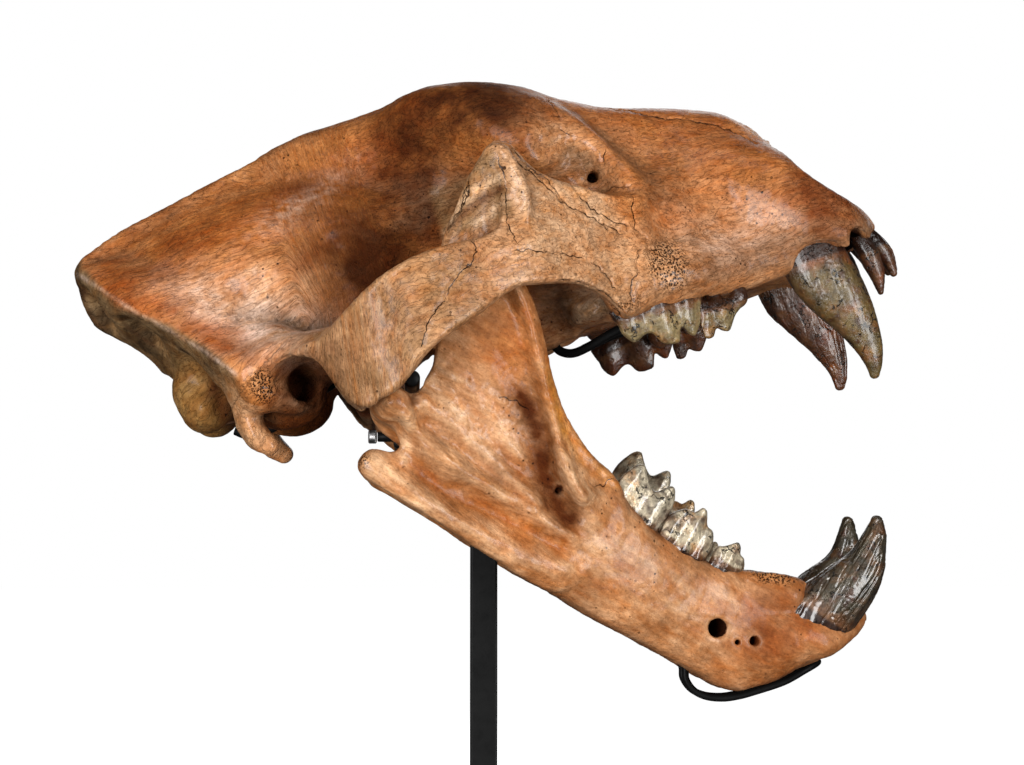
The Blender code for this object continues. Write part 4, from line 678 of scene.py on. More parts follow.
def half_jaw(c, lift):
    c.add(plate(JAW, jaw_mid, jaw_thick, 3.0), 1, 16)
    # body of the jaw
    c.add(strap([(62, 73, -20, 18, 7), (80, 70, -14, 24, 8), (100, 66, -12, 26, 9.5),
                 (118, 60, -12, 27, 10.5), (135, 55, -14, 25.5, 11.5), (150, 50, -14, 25, 12),
                 (172, 42, -13, 25, 12), (192, 36, -10, 27, 12.5), (208, 31, -7, 30, 13),
                 (220, 26, -4, 27, 14)], (0, 0, 1), 2.6), 8)
    # canine root swelling
    c.add(rod([(240, 32, 12, 11), (233, 33, 8, 13.5), (222, 32, -3, 15), (208, 31, -14, 13)], 4), 8)
    # chin
    c.add(rod([(208, 10, -24, 12.5), (218, 10, -14, 15.5), (232, 9, 2, 16), (244, 9, 16, 14),
               (250, 9, 26, 9.5)], 4), 10)
    c.add(rod([(210, 0, -23, 10), (220, 0, -11, 13), (234, 0, 6, 13), (246, 0, 20, 11), (251, 0, 28, 9)],
              4), 6)
    c.add(rod([(243, 38, 10, 6), (249.5, 34, 19, 5.5), (253.5, 26, 28, 5), (255, 16, 31, 5)], 3), 6)
    # joint, its neck, and the angle
    c.add(rod([(0.5, 49, 0, 6.5), (0, 60, -1, 8.5), (0, 74, -2, 9.5), (0, 86, -2, 9), (1, 94, 0, 7)], 3),
          3)
    c.add(rod([(-1, 84, 3, 4.5), (7, 85, 2, 5), (16, 84, 3, 5.5)], 3), 4)
    c.add(rod([(6, 72, -6, 8), (20, 79, -10, 8), (40, 80, -14, 7)], 3), 8)
    c.add(rod([(30, 80, -31, 7), (14, 81, -31.5, 6.5), (7, 81, -30.5, 5.5)], 3), 5)
    # rims along the teeth and the gap before them
    c.add(rod([(112, 60, 14 + lift, 5.5), (124, 57.5, 8.5 + lift, 7), (140, 53, 4.5 + lift, 7.5),
               (158, 47, 4.5 + lift / 2, 7), (172, 43, 6, 6.5), (184, 40, 9, 6)], 4), 7)
    c.add(rod([(185, 39.5, 12, 5), (191, 38.5, 16, 4), (198, 38, 20, 3.2), (206, 37.5, 24.6, 2.8),
               (213, 37, 27.9, 2.4), (219, 36, 29, 2.2), (224, 34.5, 29.6, 2)], 4), 3)
    c.add(rod([(203, 36, 14, 7), (211, 37.5, 18.5, 7), (217.5, 38, 22, 6.5)], 3), 5)
    x, y, z = c.p.T
    c.d = soft_max(c.d, (KEEL(x) - z) * 0.75, 4)
    # lines on the outer face
    near = np.nonzero((x < 130) & (y > 55) & (np.abs(c.d) < 20))[0]
    if len(near):
        u, v = x[near], z[near]
        rise = sum(height * np.exp(-(line_distance(u, v, route) / width) ** 2)
                   for route, width, height in JAW_RELIEF)
        c.d[near] -= rise * smooth_step((y[near] - jaw_mid(u, v)) / 4)
    # hollows
    c.cut(ball((50, 96, 14), (34, 12, 24), (0, 25, -12)), 6)
    c.cut(ball((40, 71, 18), (30, 7, 26), (0, 20, -12)), 6)
    # where the canine leaves the bone
    c.cut(ball((236.5, 56.5, 36.5), (20, 16, 19.5)), 1.5)
    # holes for nerves
    c.cut(rod([(193, 58, -11, 5), (192, 36, -11, 4.4)], 1), 1)
    c.cut(rod([(212.5, 52, -7, 2.6), (211, 36, -7, 2)], 1), 1)
    c.cut(rod([(205, 52, -12, 1.5), (205, 38, -12, 1.2)], 1), 1)
    c.cut(rod([(89.7, 92, 6, 2.0), (90, 70, 5, 1.6)], 1), 0.8)
    c.cut(rod([(-20, 81, -16.5, 6), (11, 81, -16.5, 5.3)], 1), 3)
    # the two halves stop short of each other
    c.d = soft_max(c.d, -5.0 - c.p[:, 1], 0.8)


# ------------------------------------------------ teeth, each in its jaw's frame, on the +y side
def blade(outline, middle, thick, base, tip):
    """A cheek tooth: its outline from the side, thick at its neck and sharp at its edge."""
    pts = spline(outline, 3, closed=True)
    def distance(x, y, z):
        edge = outline_distance(pts, x, z)
        rise = np.clip((z - base) / (tip - base), 0, 1)
        half = thick(x) * (1 - 0.62 * rise)
        depth = np.clip(-edge / 5.0, 0, 1)
        half = half * (0.45 + 0.55 * depth ** 0.6)
        return soft_max(edge, (np.abs(y - middle(x)) - half) * 0.9, 1.6)
    ys, t = middle(pts[:, 0]), thick(pts[:, 0]).max()
    low = pts[:, 0].min(), ys.min() - t, pts[:, 1].min()
    high = pts[:, 0].max(), ys.max() + t, pts[:, 1].max()
    return distance, low, high


UP4 = [(116, 14), (115.4, 4), (116, 0), (118, -3.4), (120.6, -5.8), (123.4, -5.3), (126.1, -4),
       (128.9, -3.6), (131, -5), (133.5, -9.5), (136.5, -11.3), (140, -12), (142.6, -11.8), (144, -8.5),
       (145.3, -5.6), (146.8, -7.4), (148.7, -10), (151, -11), (153.2, -8.5), (156.4, -4), (157.8, 0),
       (158, 14)]
UP3 = [(160, 4), (158, -2), (154.5, -7), (153.9, -11), (155.8, -13.8), (158.9, -14.4), (161.1, -12.8),
       (162.8, -10.6), (165.5, -12.6), (168.8, -13.2), (171, -10.8), (174.2, -6.7), (177.2, -4.2),
       (180.8, -1.2), (182.4, 3), (182, 7), (174, 3), (167, 2)]
LM1 = [(113.5, 9), (113, 18), (113.2, 26), (115.6, 33.4), (117.8, 37.2), (121, 38.2), (124, 35.2),
       (127.5, 32), (130.6, 30.2), (133, 31.2), (135.6, 35), (138, 37), (140.6, 35.2), (142.9, 30),
       (143.6, 24.4), (142.8, 17), (141, 9)]
LP4 = [(146, 8), (143.4, 15), (143, 21), (144.4, 25.5), (148, 30), (151, 31.6), (154, 32), (156.4, 36),
       (159.4, 35.4), (161.4, 32), (163.4, 29.4), (166.4, 28.8), (168.6, 26.4), (170.2, 22.6),
       (170.6, 17), (169.6, 8)]
LP3 = [(174.4, 8), (172.8, 17), (172.6, 23.4), (175.4, 25.4), (178, 28), (180.8, 30.9), (183.6, 29.2),
       (185.2, 26.2), (187.9, 25.2), (190.4, 21.2), (189.8, 16), (187.6, 8)]


def teeth():
    """Each tooth's name, jaw ("c" or "m"), forms with their blends, and the box round it."""
    cheek_u = Run((112, 70.5), (130, 68.5), (158, 59.5), (184, 50.5))
    cheek_l = Run((110, 60), (128, 55.5), (150, 50), (172, 44.5), (192, 38))
    canine_u = [(214, 44.5, 26, 14, 9), (220.5, 45, 12, 16.2, 10.5), (223.4, 45.5, 0, 16.2, 10.5),
                (227.6, 46, -12, 14.6, 9.6), (231, 46, -22, 12, 8.4), (233.4, 46, -32, 9.2, 7),
                (234.6, 46, -41, 6.8, 5.4), (234.4, 45.8, -49, 4.4, 4), (233.2, 45.6, -54, 2.6, 2.4)]
    canine_l = [(226, 31, 6, 14, 10), (235, 33.5, 22, 16.6, 11), (239, 35, 35, 15, 10.6),
                (241.2, 36.5, 48, 12.2, 9), (240.8, 37.4, 58, 9.2, 7.4), (238.6, 38, 67.5, 6.5, 5.8),
                (236.6, 38, 73, 4.6, 4.4), (235.4, 38, 75.6, 3.2, 3.2)]
    p4_u = Run((114, 3.4), (121, 5.6), (129, 3.8), (138.5, 6.6), (145.5, 4.2), (151, 5.6), (158, 3.6))
    p3_u = Run((154, 3.4), (158, 4.6), (162.5, 3.8), (168, 5.4), (176, 3.8), (182, 4.2))
    p3_roots = [[(166.5, 56, -2, 4.4), (166.5, 54, 5, 4.0), (166.5, 52, 13, 3.6)],
                [(179, 52.4, 1, 3.6), (178.6, 51, 7, 3.6), (178, 50, 13, 3.4)],
                [(158.5, 59, -2, 3.2), (157.5, 57, 5, 3.2), (157, 55, 13, 3.2)]]
    i3_u = [(247, 27, 22, 4.6), (251.5, 28, 9, 5.2), (252.8, 28, 1, 5), (253.6, 27.5, -7, 3.8),
            (252.8, 27, -15.2, 1.6)]
    i2_u = [(252, 17, 24, 4), (259, 17.5, 12, 4.4), (262.6, 17.5, 3, 4.0), (264.4, 17, -7.4, 2)]
    i1_u = [(254, 6.5, 25, 3.4), (262, 6.5, 13, 4), (266, 6.5, 4, 4), (267.5, 6.5, -5, 2)]
    m1_l = Run((112, 4), (119.5, 6.4), (128.5, 4.4), (136.5, 6.6), (144, 4))
    p4_l = Run((143, 4), (148.5, 5.4), (153, 4.6), (158, 6.4), (163.5, 4.6), (167, 5.2), (171, 3.8))
    p3_l = Run((172, 3.8), (175.5, 4.6), (178, 4.2), (181.5, 5.4), (185, 4.2), (188, 4.6), (191, 3.6))
    i3_l = [(247, 16, 20, 3.6), (250, 17, 29, 4.0), (251.5, 17.5, 36, 3.4), (252, 17.5, 40, 2.2)]
    i2_l = [(249, 9, 22, 3), (252.5, 9, 31, 3.3), (254, 9, 38, 2.0)]
    ahead = (1, 0, 0)
    return [
        ("upper_canine", "c", [(strap(canine_u, ahead, 2.1), 0)], (190, 30, -60), (250, 60, 30)),
        ("upper_p4", "c", [(blade(UP4, cheek_u, p4_u, 5, -12), 0), (ball((150, 52, 3), (7, 7, 8)), 3)],
         (108, 40, -16), (164, 80, 15)),
        ("upper_p3", "c", [(blade(UP3, cheek_u, p3_u, 4, -12), 0)]
         + [(rod(root, 2), 3) for root in p3_roots],
         (155, 40, -15), (188, 66, 15)),
        ("upper_i3", "c", [(rod(i3_u, 3), 0)], (236, 18, -18), (264, 38, 26)),
        ("upper_i2", "c", [(rod(i2_u, 3), 0)], (244, 10, -12), (272, 24, 28)),
        ("upper_i1", "c", [(rod(i1_u, 3), 0)], (248, 1, -10), (275, 13, 29)),
        ("lower_canine", "m", [(strap(canine_l, ahead, 2.1), 0)], (205, 18, -12), (262, 52, 82)),
        ("lower_m1", "m", [(blade(LM1, cheek_l, m1_l, 16, 37), 0)], (106, 44, 6), (150, 70, 42)),
        ("lower_p4", "m", [(blade(LP4, cheek_l, p4_l, 14, 36), 0)], (140, 34, 2), (176, 60, 42)),
        ("lower_p3", "m", [(blade(LP3, cheek_l, p3_l, 18, 31), 0)], (168, 30, 4), (196, 54, 36)),
        ("lower_i3", "m", [(rod(i3_l, 3), 0)], (240, 8, 14), (268, 26, 52)),
        ("lower_i2", "m", [(rod(i2_l, 3), 0)], (244, 3, 16), (268, 15, 48))]


# ---------------------------------------------------------------- colour and relief
RUST = np.array([0.25, 0.062, 0.011])
ORANGE = np.array([0.38, 0.135, 0.033])
AMBER = np.array([0.47, 0.212, 0.080])
TAN = np.array([0.46, 0.240, 0.115])
ROSE = np.array([0.74, 0.52, 0.40])
CREAM = np.array([0.70, 0.46, 0.28])
UMBER = np.array([0.070, 0.018, 0.0035])
OLIVE = np.array([0.17, 0.10, 0.045])
# near black: painted shade in holes, pits and gaps, and dark blotches on the back of the skull
BLACK_STAIN_AND_SHADE = np.array([0.012, 0.007, 0.004])
BLACK = np.zeros(3)
WALL_BROWN = np.array([0.20, 0.105, 0.042])
ARCH_BROWN = np.array([0.25, 0.13, 0.055])
CONDYLE_BROWN = np.array([0.24, 0.125, 0.038])
RIDGE_GOLD = np.array([0.62, 0.27, 0.055])
RIM_GOLD = np.array([0.50, 0.22, 0.06])
JAW_TINT = np.array([0.72, 0.65, 0.58])


def spot(points, centre, radii):
    """1 in the middle of an ellipsoid, falling smoothly to 0."""
    return np.exp(-(((points - np.array(centre, float)) / np.array(radii, float)) ** 2).sum(1))


def patch(x, z, place, radii, turn=0.0):
    """1 in the middle of a slanted ellipse in the side view, falling smoothly to 0."""
    a = math.radians(turn)
    u, v = x - place[0], z - place[1]
    u, v = u * math.cos(a) + v * math.sin(a), v * math.cos(a) - u * math.sin(a)
    return np.exp(-(u / radii[0]) ** 2 - (v / radii[1]) ** 2)


class Surface:
    """A form's skin: points and normals in its jaw's frame in mm, with its colour and its grain."""
    def __init__(self, shape, low, high, step, mirror=False, rounds=2, cut=None):
        lattice, base = sample(shape, low, high, step, mirror)
        if cut is not None:
            lattice = cut(lattice, base, step)
        self.lattice, self.base, self.step = lattice, base, step
        points, quads = skin(lattice, base, step)
        points, self.quads = largest(points, quads)
        self.p = relaxed(points, self.quads, rounds)
        self.n = normals(self.p, self.quads)
        self.rest = self.p.copy()

    def hollow(self, reach):
        """Near 1 in a pit, 0 on open ground."""
        return 1 - looked_up(self.lattice, self.base, self.step, self.rest + self.n * reach) / reach

    def ridge(self, reach):
        """Near 1 on a sharp edge, 0 on open ground."""
        return 1 + looked_up(self.lattice, self.base, self.step, self.rest - self.n * reach) / reach

    def push(self, height):
        self.p = self.p + self.n * height[:, None]

    def mirror(self):
        self.rest, self.n = self.rest * [1, -1, 1], self.n * [1, -1, 1]

    def band(self, route, width):
        """1 along a line in the side view, falling smoothly to 0."""
        return np.exp(-(line_distance(self.rest[:, 0], self.rest[:, 2], route) / width) ** 2)

    def paint(self, colour, amount):
        self.colour = self.colour + (colour - self.colour) * np.clip(amount, 0, 1)[:, None]

    def stain(self, colour, amount, place, radii, turn=0.0, vary=1.0):
        self.paint(colour, amount * patch(self.rest[:, 0], self.rest[:, 2], place, radii, turn) * vary)


def seams(s, routes):
    """For lines drawn in the side view: signed distance to the nearest, and plain distance, in mm."""
    signed, best = np.full(len(s.p), 40.0), np.full(len(s.p), 40.0)
    x, z = (s.rest[:, i] + 2.4 * rough(s.rest, 4, 3, seed) for i, seed in ((0, 3), (2, 4)))
    for route, sides, depth in routes:
        outer = np.any([(s.rest[:, 1] * side > depth) & (s.n[:, 1] * side > 0.05) for side in sides], 0)
        for a, b in zip(route[:-1], route[1:]):
            d = np.sqrt(gap_squared(x, z, a, b))
            closer = outer & (d < best)
            turn = np.where((x - a[0]) * (b[1] - a[1]) - (z - a[1]) * (b[0] - a[0]) > 0, 1.0, -1.0)
            best = np.where(closer, d, best)
            signed = np.where(closer, d * turn, signed)
    return signed, best


BOTH, RIGHT = (1, -1), (-1,)
SKULL_SEAMS = [
    ([(131.4, 70.5), (135, 71.6), (140.7, 68.3), (141, 64), (140, 60), (138, 51.8), (137.3, 45.5),
      (140.7, 40.6), (139.5, 35), (135.4, 35.3), (131.6, 31.5), (130.9, 26),
      (126.5, 22), (124, 13)], BOTH, 52),
    ([(139.5, 35), (145.9, 32.6), (150.4, 31)], RIGHT, 50),
    ([(56.5, 57.7), (57.4, 52.2), (54.3, 48.9), (47.3, 44.8), (39.3, 38.8), (33.4, 33.3), (27.9, 28.7),
      (20, 19)], BOTH, 100),
    ([(64.3, 87.8), (60, 82.6), (56.8, 77.1), (47.1, 70.2)], RIGHT, 70),
    ([(88.9, 91.4), (93.6, 85.7), (96.6, 81.5), (100.4, 72.8), (106.4, 64.6), (113.4, 59.2),
      (121.7, 51.4), (130.5, 44.9)], RIGHT, 70),
    ([(111.7, 76.9), (114.6, 68.5), (118.4, 59.7), (125.1, 53.4), (132.4, 49)], RIGHT, 66),
    ([(88.7, 98.3), (95.8, 86.5), (101.8, 78.2), (106.6, 66.1)], RIGHT, 70),
    ([(111.1, 114.9), (116.5, 113.9), (120.5, 112.1), (120.4, 115.5), (118.2, 123.1)], RIGHT, 20),
    ([(119.7, 106.3), (122.2, 101.5)], RIGHT, 30),
    ([(136.3, 89.3), (133.6, 84.5)], RIGHT, 30),
    ([(150, 114.5), (158.3, 110.5), (171.9, 101.8), (182.2, 97.6), (195.3, 91.3), (205.7, 83.6),
      (213.3, 74.3)], BOTH, 10),
    ([(75.7, 48.7), (87.5, 45.2), (101.1, 40.6), (110.1, 35.2), (114.5, 28.5), (116.6, 21.4)], RIGHT, 70),
    ([(92, 30), (99.9, 26.8), (107.2, 22.4), (113.9, 16), (116.7, 7.6)], RIGHT, 60),
    ([(80.4, 93), (80.6, 84), (78.6, 74), (74.9, 62), (77.1, 52.6)], RIGHT, 70),
    ([(66.3, 93.1), (63.5, 84), (57, 76), (50, 71)], RIGHT, 40)]
JAW_SEAMS = [
    ([(102.5, 15.7), (107, 19), (110.6, 23.8)], RIGHT, 55),
    ([(56, 30), (50, 31), (43, 29.5)], RIGHT, 70)]


def paint_cranium(s):
    p, n = s.rest, s.n
    x, ay, z = p[:, 0], np.abs(p[:, 1]), p[:, 2]
    hollow, pit, ridge = s.hollow(5.0), s.hollow(2.0), s.ridge(4.0)
    cloud, mottle, grit = rough(p, 34, 3, 1), rough(p, 15, 3, 2), rough(p, 5, 3, 7)
    s.colour = ORANGE
    s.paint(RUST, 0.35 + 0.9 * cloud + 0.5 * mottle)
    # braincase: painted sheen, pale and pinkish, low down, rust streaks round it
    s.stain(AMBER, 0.75, (-50, 66), (46, 26), 10, 0.8 + mottle)
    s.stain(CREAM, 0.35, (-46, 66), (30, 18), 15, 0.7 + 1.2 * mottle)
    s.stain(ROSE, 0.9, (-54, 60), (38, 15), -38, 0.75 + mottle + 0.8 * grit)
    s.stain(ROSE, 1.0, (-40, 49), (24, 10), -20, 0.8 + mottle)
    s.stain(RUST, 0.9, (-73, 54), (20, 5.5), -42, 0.9 + mottle)
    s.stain(ROSE, 0.5, (-14, 112), (26, 8), 20, 0.6 + 1.6 * grit)
    for place, radii, turn in (((-98, 80), (26, 8), -35), ((-68, 56), (16, 6), -30),
                               ((-12, 84), (20, 6), 30), ((-71, 110), (24, 7), 5),
                               ((-117, 98), (18, 9), -10), ((-20, 120), (30, 6), 12)):
        s.stain(RUST, 0.7, place, radii, turn, 0.8 + 1.2 * grit)
    s.stain(AMBER, 0.5, (-30, 138), (70, 10), 8, 0.6 + 1.2 * mottle)
    # painted shade in the temple hollow and on the bone before it, darkest
    s.stain(UMBER, 1.2, (14, 76), (24, 30), -30, (0.95 + 0.6 * mottle) * (x < 60))
    s.stain(UMBER, 1.15, (44, 104), (19, 40), -12, 0.95 + 0.8 * mottle)
    # forehead and brow: dark brown patches deepened with painted shade, and rust on top
    s.stain(UMBER, 1.1, (84, 131), (36, 17), -20, 0.9 + 1.4 * mottle)
    s.stain(UMBER, 0.9, (100, 122), (20, 12), -30, 0.9 + 1.2 * mottle)
    s.stain(BLACK, 0.45, (88, 126), (34, 20), -25)
    s.paint(RUST, 0.5 * smooth_step((x - 90) / 30) * smooth_step((z - 92) / 22) * (0.9 + mottle))
    # muzzle, browner and paler at its sides
    face = smooth_step((x - 100) / 30)
    s.paint(AMBER, face * (0.35 + 0.7 * mottle + 0.3 * cloud))
    s.paint(TAN, 0.55 * face * smooth_step((66 - z) / 36) * (0.7 + cloud))
    s.stain(RUST, 0.55, (158, 50), (12, 13), 0, face)
    s.stain(ROSE, 0.42, (182, 28), (34, 13), -6, 0.8 + 1.2 * mottle)
    s.stain(RUST, 0.6, (176, 92), (56, 14), -22, 0.8 + mottle)
    s.stain(RUST, 0.25, (190, 54), (34, 18), 0, 0.9 + mottle)
    s.stain(0.65 * RUST, 1.25, (238, 38), (24, 28), 0, face * (0.9 + mottle))
    # inside the orbit, pale
    s.stain(TAN, 0.85, (119, 96), (20, 12), -40, ay < 78)
    # cheekbone and arch, tan
    cheek = smooth_step((ay - 74) / 12) * smooth_step((x + 44) / 20) * smooth_step((108 - z) / 8)
    s.paint(0.86 * TAN, cheek * (0.9 + 0.5 * mottle))
    s.stain(CREAM, 0.5, (108, 54), (28, 24), 0, cheek * (0.8 + mottle))
    s.paint(ARCH_BROWN, 0.75 * cheek * smooth_step((58 - x) / 12) * (0.7 + mottle))
    s.stain(0.6 * ORANGE, 0.9, (56, 76), (14, 22), 0, ay > 60)
    # wall behind the postorbital plate, with two pale bands across it
    wall = (smooth_step((81 - x) / 3) * smooth_step((x - 46) / 6) * smooth_step((z - 63) / 5)
            * smooth_step((102 - z) / 6) * (ay > 30))
    s.paint(WALL_BROWN, 0.9 * wall * (0.95 + 0.6 * mottle))
    for route, width in (([(50, 74), (58, 79.5), (67, 82.5), (78, 84.5)], 2.4),
                         ([(62, 67), (70, 69.5), (77, 72)], 2.6)):
        s.paint(CREAM, 0.65 * wall * s.band(route, width) * (0.8 + grit))
    s.paint(UMBER, 0.8 * wall * s.band([(48, 69), (58, 74.5), (66, 77), (77, 79)], 2.2))
    # back of the skull, olive
    behind = OCCIPUT(z) + 0.42 * (np.sqrt(ay * ay + 64) - 8) + 4 - x
    back = (smooth_step(behind / 4 + 0.2) * smooth_step((-60 - x) / 14)
            * smooth_step((-n[:, 0] + 0.35) / 0.3))
    for place in ((-131, 15, 88), (-110, 36, 68), (-92, 47, 42), (-80, 46, 22)):
        back = np.maximum(back, smooth_step((spot(np.abs(p) * [-1, 1, 1], place, (15, 17, 19)) - 0.24)
                                            / 0.2))
    back = back * smooth_step((-60 - x) / 10)
    s.paint(OLIVE, back)
    # dark blotches, with painted shade in the hollows of the back of the skull
    s.paint(BLACK_STAIN_AND_SHADE, 0.75 * back * np.clip(0.25 + 2.4 * mottle + 1.5 * hollow, 0, 1))
    # condyle brown, with a painted shadow on its forward side
    condyle = spot(p * [1, 0, 1], (-90, 0, 28), (16, 1, 22)) * (ay < 44) * (ay > 8)
    s.paint(CONDYLE_BROWN, 1.5 * condyle * (0.9 + 0.5 * mottle))
    s.paint(UMBER, 1.2 * condyle * smooth_step((x + 88) / 8))
    s.stain(1.35 * TAN, 1.1, (-66, 8), (9, 20), 20, (ay > 48) * (ay < 76))
    rim = s.band([(-133, 112), (-124, 101.5), (-110, 84), (-94, 67), (-78, 49), (-67, 34)], 1.0)
    s.paint(0.8 * ROSE, 0.45 * rim * (0.7 + grit) * (ay > 3))
    # ear region, dark brown
    s.stain(UMBER, 0.9, (-40, 14), (22, 20), 0, z < 33)
    s.stain(AMBER, 0.9, (-56, 26), (5, 7), 20, (0.6 + 1.6 * grit) * (ay > 50))
    # worn edges pale; painted shade in hollows and pits, held off in two places
    s.paint(CREAM, 0.5 * np.clip(ridge - 0.12, 0, 1) * (0.7 + 0.9 * grit) * (1 - back))
    shade_kept_off = 0.7 * patch(x, z, (119, 94), (24, 16), -40) + 0.85 * patch(x, z, (-28, 46), (26, 14))
    s.paint(UMBER, np.clip(hollow - 0.12, 0, 1) * (1 - shade_kept_off))
    s.paint(BLACK_STAIN_AND_SHADE, 1.6 * np.clip(pit - 0.3, 0, 1))
    # painted shade, near black, inside the ear opening
    s.paint(BLACK_STAIN_AND_SHADE, 1.3 * spot(p * [1, 0, 1], (-35, 0, 20), (10, 1, 8)) * (ay > 40) * (ay < 92))
    # painted shade, darker towards the bottom of the skull's base
    base = smooth_step((x + 60) / 12) * smooth_step((30 - x) / 30) * smooth_step((84 - ay) / 20)
    s.paint(UMBER, 0.7 * smooth_step((34 - z) / 20) * base)
    # painted light, pale, on the inner wall behind the carnassial, which the arch shades
    s.stain(CREAM, 0.9, (98, 24), (13, 16), 0, (ay < 62) * (ay > 14) * (0.7 + mottle))
    s.stain(1.15 * TAN, 0.7, (146, 25), (13, 15), 0, ay > 45)
    # painted shade in the hole beside the third incisor
    hole = smooth_step((spot(p * [1, 0, 1], (244, 0, 10), (6.5, 1, 8.5)) - 0.35) / 0.15)
    s.paint(0.4 * BLACK_STAIN_AND_SHADE, hole * smooth_step((44 - ay) / 8) * (ay > 16))
    signed, plain = seams(s, SKULL_SEAMS)
    spongy = (patch(x, z, (147, 25), (9, 12)) * (ay > 45) + 0.9 * patch(x, z, (-56, 25), (6, 8))
              * (ay > 50) + 0.5 * patch(x, z, (122, 12), (8, 5)) * (ay > 60))
    s.marks = np.stack([signed, plain, spongy], 1)
    # relief
    edge = np.clip(ridge - 0.15, 0, 1)
    s.push(0.45 * rough(p, 14, 3, 11) + 0.30 * rough(p, 4.5, 3, 12) + 1.6 * edge * rough(p, 4.0, 2, 13)
           - 0.7 * np.exp(-(plain / 0.9) ** 2))
    s.push(-0.9 * np.clip(spongy, 0, 1) * cells(p, 2.6, 5))


def paint_mandible(s):
    p, n = s.rest, s.n
    x, z = p[:, 0], p[:, 2]
    hollow, pit, ridge = s.hollow(5.0), s.hollow(2.0), s.ridge(4.0)
    mottle, grit = rough(p, 18, 3, 21), rough(p, 6, 3, 26)
    strand = rough(p * [0.3, 1, 1], 6, 3, 22)
    s.colour = TAN
    s.paint(AMBER, 0.55 + 1.1 * mottle)
    s.paint(CREAM, 0.5 * np.clip(0.3 + 1.8 * strand, 0, 1))
    outer = smooth_step(n[:, 1] / 0.3) * (x < 125)
    # painted highlights, pale, along the raised lines, and painted shade, orange, along the sunken ones
    for route, width, height in JAW_RELIEF:
        if height > 0:
            s.paint(1.08 * CREAM, outer * 0.85 * s.band(route, 0.8 * width) * (0.7 + 1.6 * strand))
        else:
            s.paint(ORANGE, outer * 0.95 * s.band(route, width) * (0.9 + 0.8 * grit))
    s.stain(RUST, 0.4, (45, 6), (26, 12), -15, outer * np.clip(0.5 + 2.5 * grit, 0, 1))
    s.paint(AMBER, 0.5 * smooth_step((52 - np.abs(x - 60)) / 20) * smooth_step((z - 24) / 12)
            * (0.8 + mottle))
    # the inner band before the ridge, deep orange
    band = s.band([(57, 52), (65.5, 41), (78, 31.5), (92, 26), (112, 23)], 4.0)
    s.paint(RIDGE_GOLD, 0.9 * outer * band * (0.9 + grit))
    # front of the jaw and the rim before the teeth
    s.paint(ORANGE, 0.65 * smooth_step((x - 190) / 30) * (0.8 + mottle))
    s.paint(TAN, 0.5 * smooth_step((x - 236) / 10) * (0.8 + mottle))
    s.stain(RIM_GOLD, 0.7, (203, 25), (16, 6), 28)
    # worn edges pale; painted shade in hollows and pits
    s.paint(CREAM, 0.5 * np.clip(ridge - 0.1, 0, 1))
    s.paint(RUST, 0.8 * np.clip(hollow - 0.08, 0, 1))
    s.paint(BLACK_STAIN_AND_SHADE, 1.6 * np.clip(pit - 0.3, 0, 1))
    # pale rims round the nerve holes, and painted shade inside them
    for hole, radius, rim in (((193, -11), 4.9, 46.5), ((212.5, -7), 2.0, 43), ((89.7, 6), 1.7, 78)):
        away = np.hypot(x - hole[0], z - hole[1])
        s.paint(CREAM, 0.5 * np.exp(-((away - radius - 1.2) / 1.0) ** 2))
        s.paint(BLACK_STAIN_AND_SHADE * 0.5, smooth_step((radius + 0.5 - away) / 0.6) * (p[:, 1] < rim))
    # three coats on the rising branch
    for _ in range(3):
        s.stain(ORANGE, 0.6, (34, 50), (18, 24), 20, 0.8 + mottle)
    s.stain(ORANGE, 0.6, (78, -27), (34, 8), 0, 0.8 + mottle)
    s.stain(CREAM, 0.8, (28, 12), (22, 5), -20, 0.8 + mottle)
    s.stain(CREAM, 0.7, (46, -6), (26, 4), -6, 0.8 + mottle)
    s.stain(RUST, 0.75, (216, 6), (22, 24), 0, 0.9 + mottle)
    # painted shadow, dark, in the groove beside the ridge of the rising branch
    groove = s.band(JAW_RELIEF[2][0][1:], 7.0)
    s.paint(1.2 * UMBER, outer * groove * (0.97 + 0.3 * grit) * smooth_step((52 - z) / 20))
    # painted shade in the gaps between the teeth
    for gap in ((145, 15), (173, 16)):
        s.stain(BLACK_STAIN_AND_SHADE, 0.9, gap, (2.6, 4.5), -60)
    s.colour = s.colour * JAW_TINT
    s.mirror()
    signed, plain = seams(s, JAW_SEAMS)
    s.mirror()
    spongy = 0.8 * patch(x, z, (205, 26), (12, 4), 28) + 0.5 * patch(x, z, (2, -31), (6, 5))
    s.marks = np.stack([signed, plain, spongy], 1)
    edge = np.clip(ridge - 0.15, 0, 1)
    s.push(0.38 * rough(p, 12, 3, 23) + 0.26 * rough(p, 4.5, 3, 24) + 1.2 * edge * rough(p, 4.0, 2, 25)
           + 0.5 * outer * strand - 0.6 * np.exp(-(plain / 0.9) ** 2))


